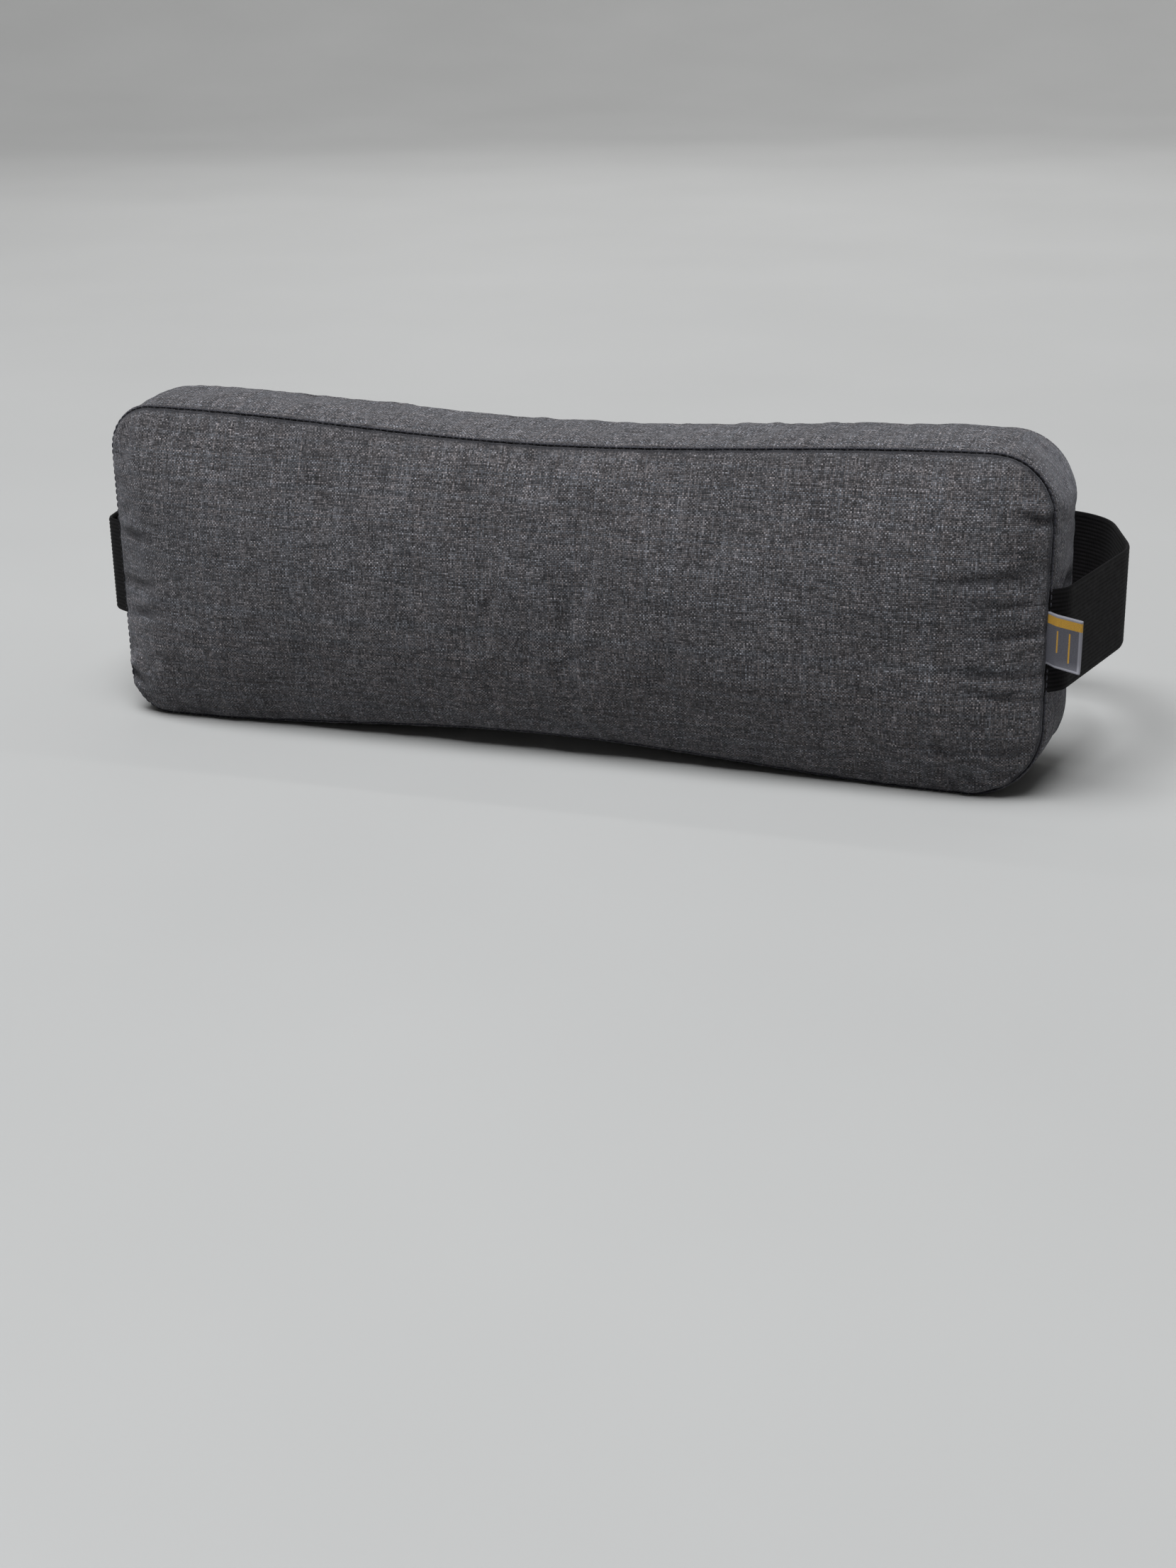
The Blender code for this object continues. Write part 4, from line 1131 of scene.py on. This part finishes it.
def tape_material():
    """Herringbone zip tape, with painted shade in its twill's valleys."""
    n = Nodes("herringbone_tape")
    place = n.place((1000.0, 1000.0, 1000.0))
    x, _, z = n.parts(place)
    twill = yarn(n, x + n.math("PINGPONG", z, 1.1), 0.55)[1]
    speck = n.noise(place, 2.0)
    n.bump(twill, 0.08 * MM, 0.7)
    # Painted shade: the twill's valleys darker and its ridges lighter, varied by specks
    return n.finish(n.mix(twill * n.vary(speck, 0.6, 1.0), (0.012, 0.012, 0.014), (0.046, 0.046, 0.052)),
                    n.vary(speck, 0.74, 0.9), Sheen_Weight=0.15)


def calico_material():
    """Undyed cotton of the liner."""
    n = Nodes("liner_calico")
    place = n.place((1000.0, 1000.0, 1000.0))
    x, y, z = n.parts(place)
    relief = plain_weave(n, x + y, z, 0.55)[1]
    nep = n.noise(place, 0.5, 4.0, 0.7)
    shade = n.mix(n.vary(nep), (0.50, 0.46, 0.38), (0.62, 0.585, 0.51))
    n.bump(relief, 0.12 * MM, 0.8)
    # Painted shade in the gaps between yarns, from the weave's relief
    return n.finish(n.shaded(shade, n.spread(relief, 0.0, 0.8, 0.7, 1.05)), n.vary(nep, 0.85, 0.95),
                    Sheen_Weight=0.1)


def hull_material():
    """Loose brown hulls, each a little different."""
    n = Nodes("loose_hulls")
    cells = n.node("TexVoronoi", {"Vector": n.place(), "Scale": 210.0}).outputs
    grain = n.noise(n.place(), 900.0, 3.0)
    shade = n.mix(n.parts(Value(n, cells["Color"]))[0], (0.035, 0.018, 0.010), (0.20, 0.125, 0.065))
    shade = n.mix(n.spread(grain, 0.4, 0.7, 0.0, 0.4), shade, (0.10, 0.06, 0.035))
    n.bump(1.0 - Value(n, cells["Distance"]), 1.5 * MM, 1.0)
    return n.finish(shade, n.vary(grain, 0.6, 0.85))


def floor_material():
    n = Nodes("studio_floor")
    cloud = n.noise(n.place(), 3.0, 3.0)
    shade = n.mix(n.vary(cloud), (0.360, 0.360, 0.356), (0.378, 0.378, 0.374))
    return n.finish(shade, n.vary(cloud, 0.75, 0.85), Specular_IOR_Level=0.2)


def dress(obj, material):
    """Gives every slot of a piece this material."""
    obj.data.materials.clear()
    obj.data.materials.append(material)


# ---- camera, light and floor

CAMERA_PLACE = Vector((0.3149, -0.9015, 0.3217))
CAMERA_LOOK = Vector((-0.3196, 0.7948, -0.5159))  # a look below the object, which sets it high in the frame
CAMERA_UP = Vector((-0.1576, 0.4923, 0.8560))


def make_camera():
    """Looks from above the object's right, held slightly rolled, with the object high in the frame."""
    low, high = CAD_BOX
    at_object = ((low + high) / 2 + Vector((0.010, 0.0, 0.0)) - CAMERA_PLACE).normalized()
    look = at_object.lerp(CAMERA_LOOK, 0.35).normalized()
    up = (CAMERA_UP - look * CAMERA_UP.dot(look)).normalized()
    data = bpy.data.cameras.new("camera")
    data.lens = 52.5
    data.clip_start = 0.01
    camera = add_object("camera", data)
    turn = Matrix((look.cross(up), up, -look)).transposed()
    camera.matrix_world = Matrix.Translation(CAMERA_PLACE) @ turn.to_4x4()
    bpy.context.scene.camera = camera


def area_light(name, place, target, size, power, colour=(1.0, 1.0, 1.0)):
    data = bpy.data.lights.new(name, "AREA")
    data.shape = "RECTANGLE"
    data.size, data.size_y = size
    data.energy = power
    data.color = colour
    light = add_object(name, data)
    light.location = place
    light.rotation_mode = "QUATERNION"
    light.rotation_quaternion = (Vector(target) - Vector(place)).to_track_quat("-Z", "Y")


def make_floor():
    """A pale floor that curves up into a wall all round."""
    profile = [(0.0, 0.0), (1.0, 0.0), (3.0, 0.0)]
    profile += [(3.0 + 3.0 * math.sin(a), 3.0 - 3.0 * math.cos(a)) for a in np.radians(range(6, 91, 6))]
    profile.append((6.0, 7.0))
    turns = np.radians(np.linspace(0, 360, 73))
    points = [(r * math.cos(a), r * math.sin(a), z) for r, z in profile for a in turns]
    floor = mesh_object("floor", points, grid_faces(len(profile), len(turns), flip=True))
    dress(floor, floor_material())


def make_studio():
    """A large soft light overhead, weak fills, and a pale floor."""
    area_light("overhead", (-0.2, -0.95, 3.15), (0.0, -0.1, 0.0), (2.6, 1.7), 168.0, (0.97, 0.985, 1.0))
    area_light("rear_fill", (-0.8, 2.2, 1.2), (0.0, 0.0, 0.06), (1.4, 1.0), 5.0)
    area_light("backdrop", (0.0, 1.5, 3.4), (0.0, 5.5, 1.0), (4.0, 1.0), 130.0)
    area_light("front_backdrop", (0.0, -1.8, 3.4), (0.0, -5.5, 1.0), (4.0, 1.0), 60.0)
    world = bpy.data.worlds.new("studio")
    world.use_nodes = True
    background = world.node_tree.nodes["Background"].inputs
    background["Color"].default_value = (0.93, 0.96, 1.0, 1.0)
    background["Strength"].default_value = 0.04
    bpy.context.scene.world = world
    make_floor()
    bpy.context.scene.view_settings.view_transform = "Standard"


# ---- assembly

def place(piece, body, slot, *nodes, material):
    """Gives a piece its material and its body, and hides the CAD nodes that it stands for; its slot is not
    used.
    """
    dress(piece, material)
    if body:
        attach(piece, body)
    if nodes:
        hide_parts(*nodes)


def build_cover():
    back_cloth = melange("melange_back", 0.71)
    for piece, node, cloth in ((make_front_cover(), "front_panel", melange("melange_front", 0.71)),
                               # The gusset's copy of the cloth is toned a little lighter than the front's and
                               # back's: painted light
                               (make_gusset(), "border_band", melange("melange_gusset_painted_lighter", 0.72)),
                               (make_back_cover(1), "back_panel_upper", back_cloth),
                               (make_back_cover(-1), "back_panel_lower", back_cloth)):
        place(piece, "cushion", "melange_cloth", node, material=cloth)
    thread = thread_material("navy_thread", (0.006, 0.006, 0.012))
    front_row = seam_stitches("seam_stitches_front", SEAM_Y, 0.25 * MM, -0.6)
    back_row = seam_stitches("seam_stitches_back", BACK_SEAM_Y, 0.75 * MM, 0.6)
    place(front_row, "cushion", "dark_thread", "seam_thread_front", material=thread)
    place(back_row, "cushion", "dark_thread", "seam_thread_back", material=thread)
    for side in (1, -1):
        place(hem_stitches(side), "cushion", "dark_thread", material=thread)


def build_strap():
    elastic = webbing_material()
    right, left = make_straps()
    place(right, "cushion", "black_elastic", "strap_right", material=elastic)
    place(left, None, "black_elastic", "strap_left", material=elastic)
    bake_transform(left)
    black_thread = thread_material("black_thread", (0.010, 0.010, 0.011))
    place(boxed_stitches(), "cushion", "dark_thread", material=black_thread)
    place(make_tag(), "cushion", "woven_tag", "label", material=tag_material())


def build_zip():
    coil = coil_material()
    for side, node in ((1, "zip_coil_upper"), (-1, "zip_coil_lower")):
        place(make_zip_teeth(side), "cushion", "zip_coil", node, material=coil)


def finish_cad_nodes():
    """Procedural materials for the CAD nodes that stay."""
    looks = {moulded_plastic: ["strap_keeper", "buckle_socket", "buckle_plug",
                               "buckle_arm_upper", "buckle_arm_lower"],
             plated_metal: ["zip_stop_left", "zip_stop_right", "zip_slider", "zip_pull"],
             tape_material: ["zip_tape_upper", "zip_tape_lower"],
             calico_material: ["inner_case"],
             hull_material: ["hull_filling"]}
    for make_material, names in looks.items():
        material = make_material()
        for name in names:
            dress(NODES[name], material)


make_camera()
make_studio()
build_cover()
build_strap()
build_zip()
finish_cad_nodes()
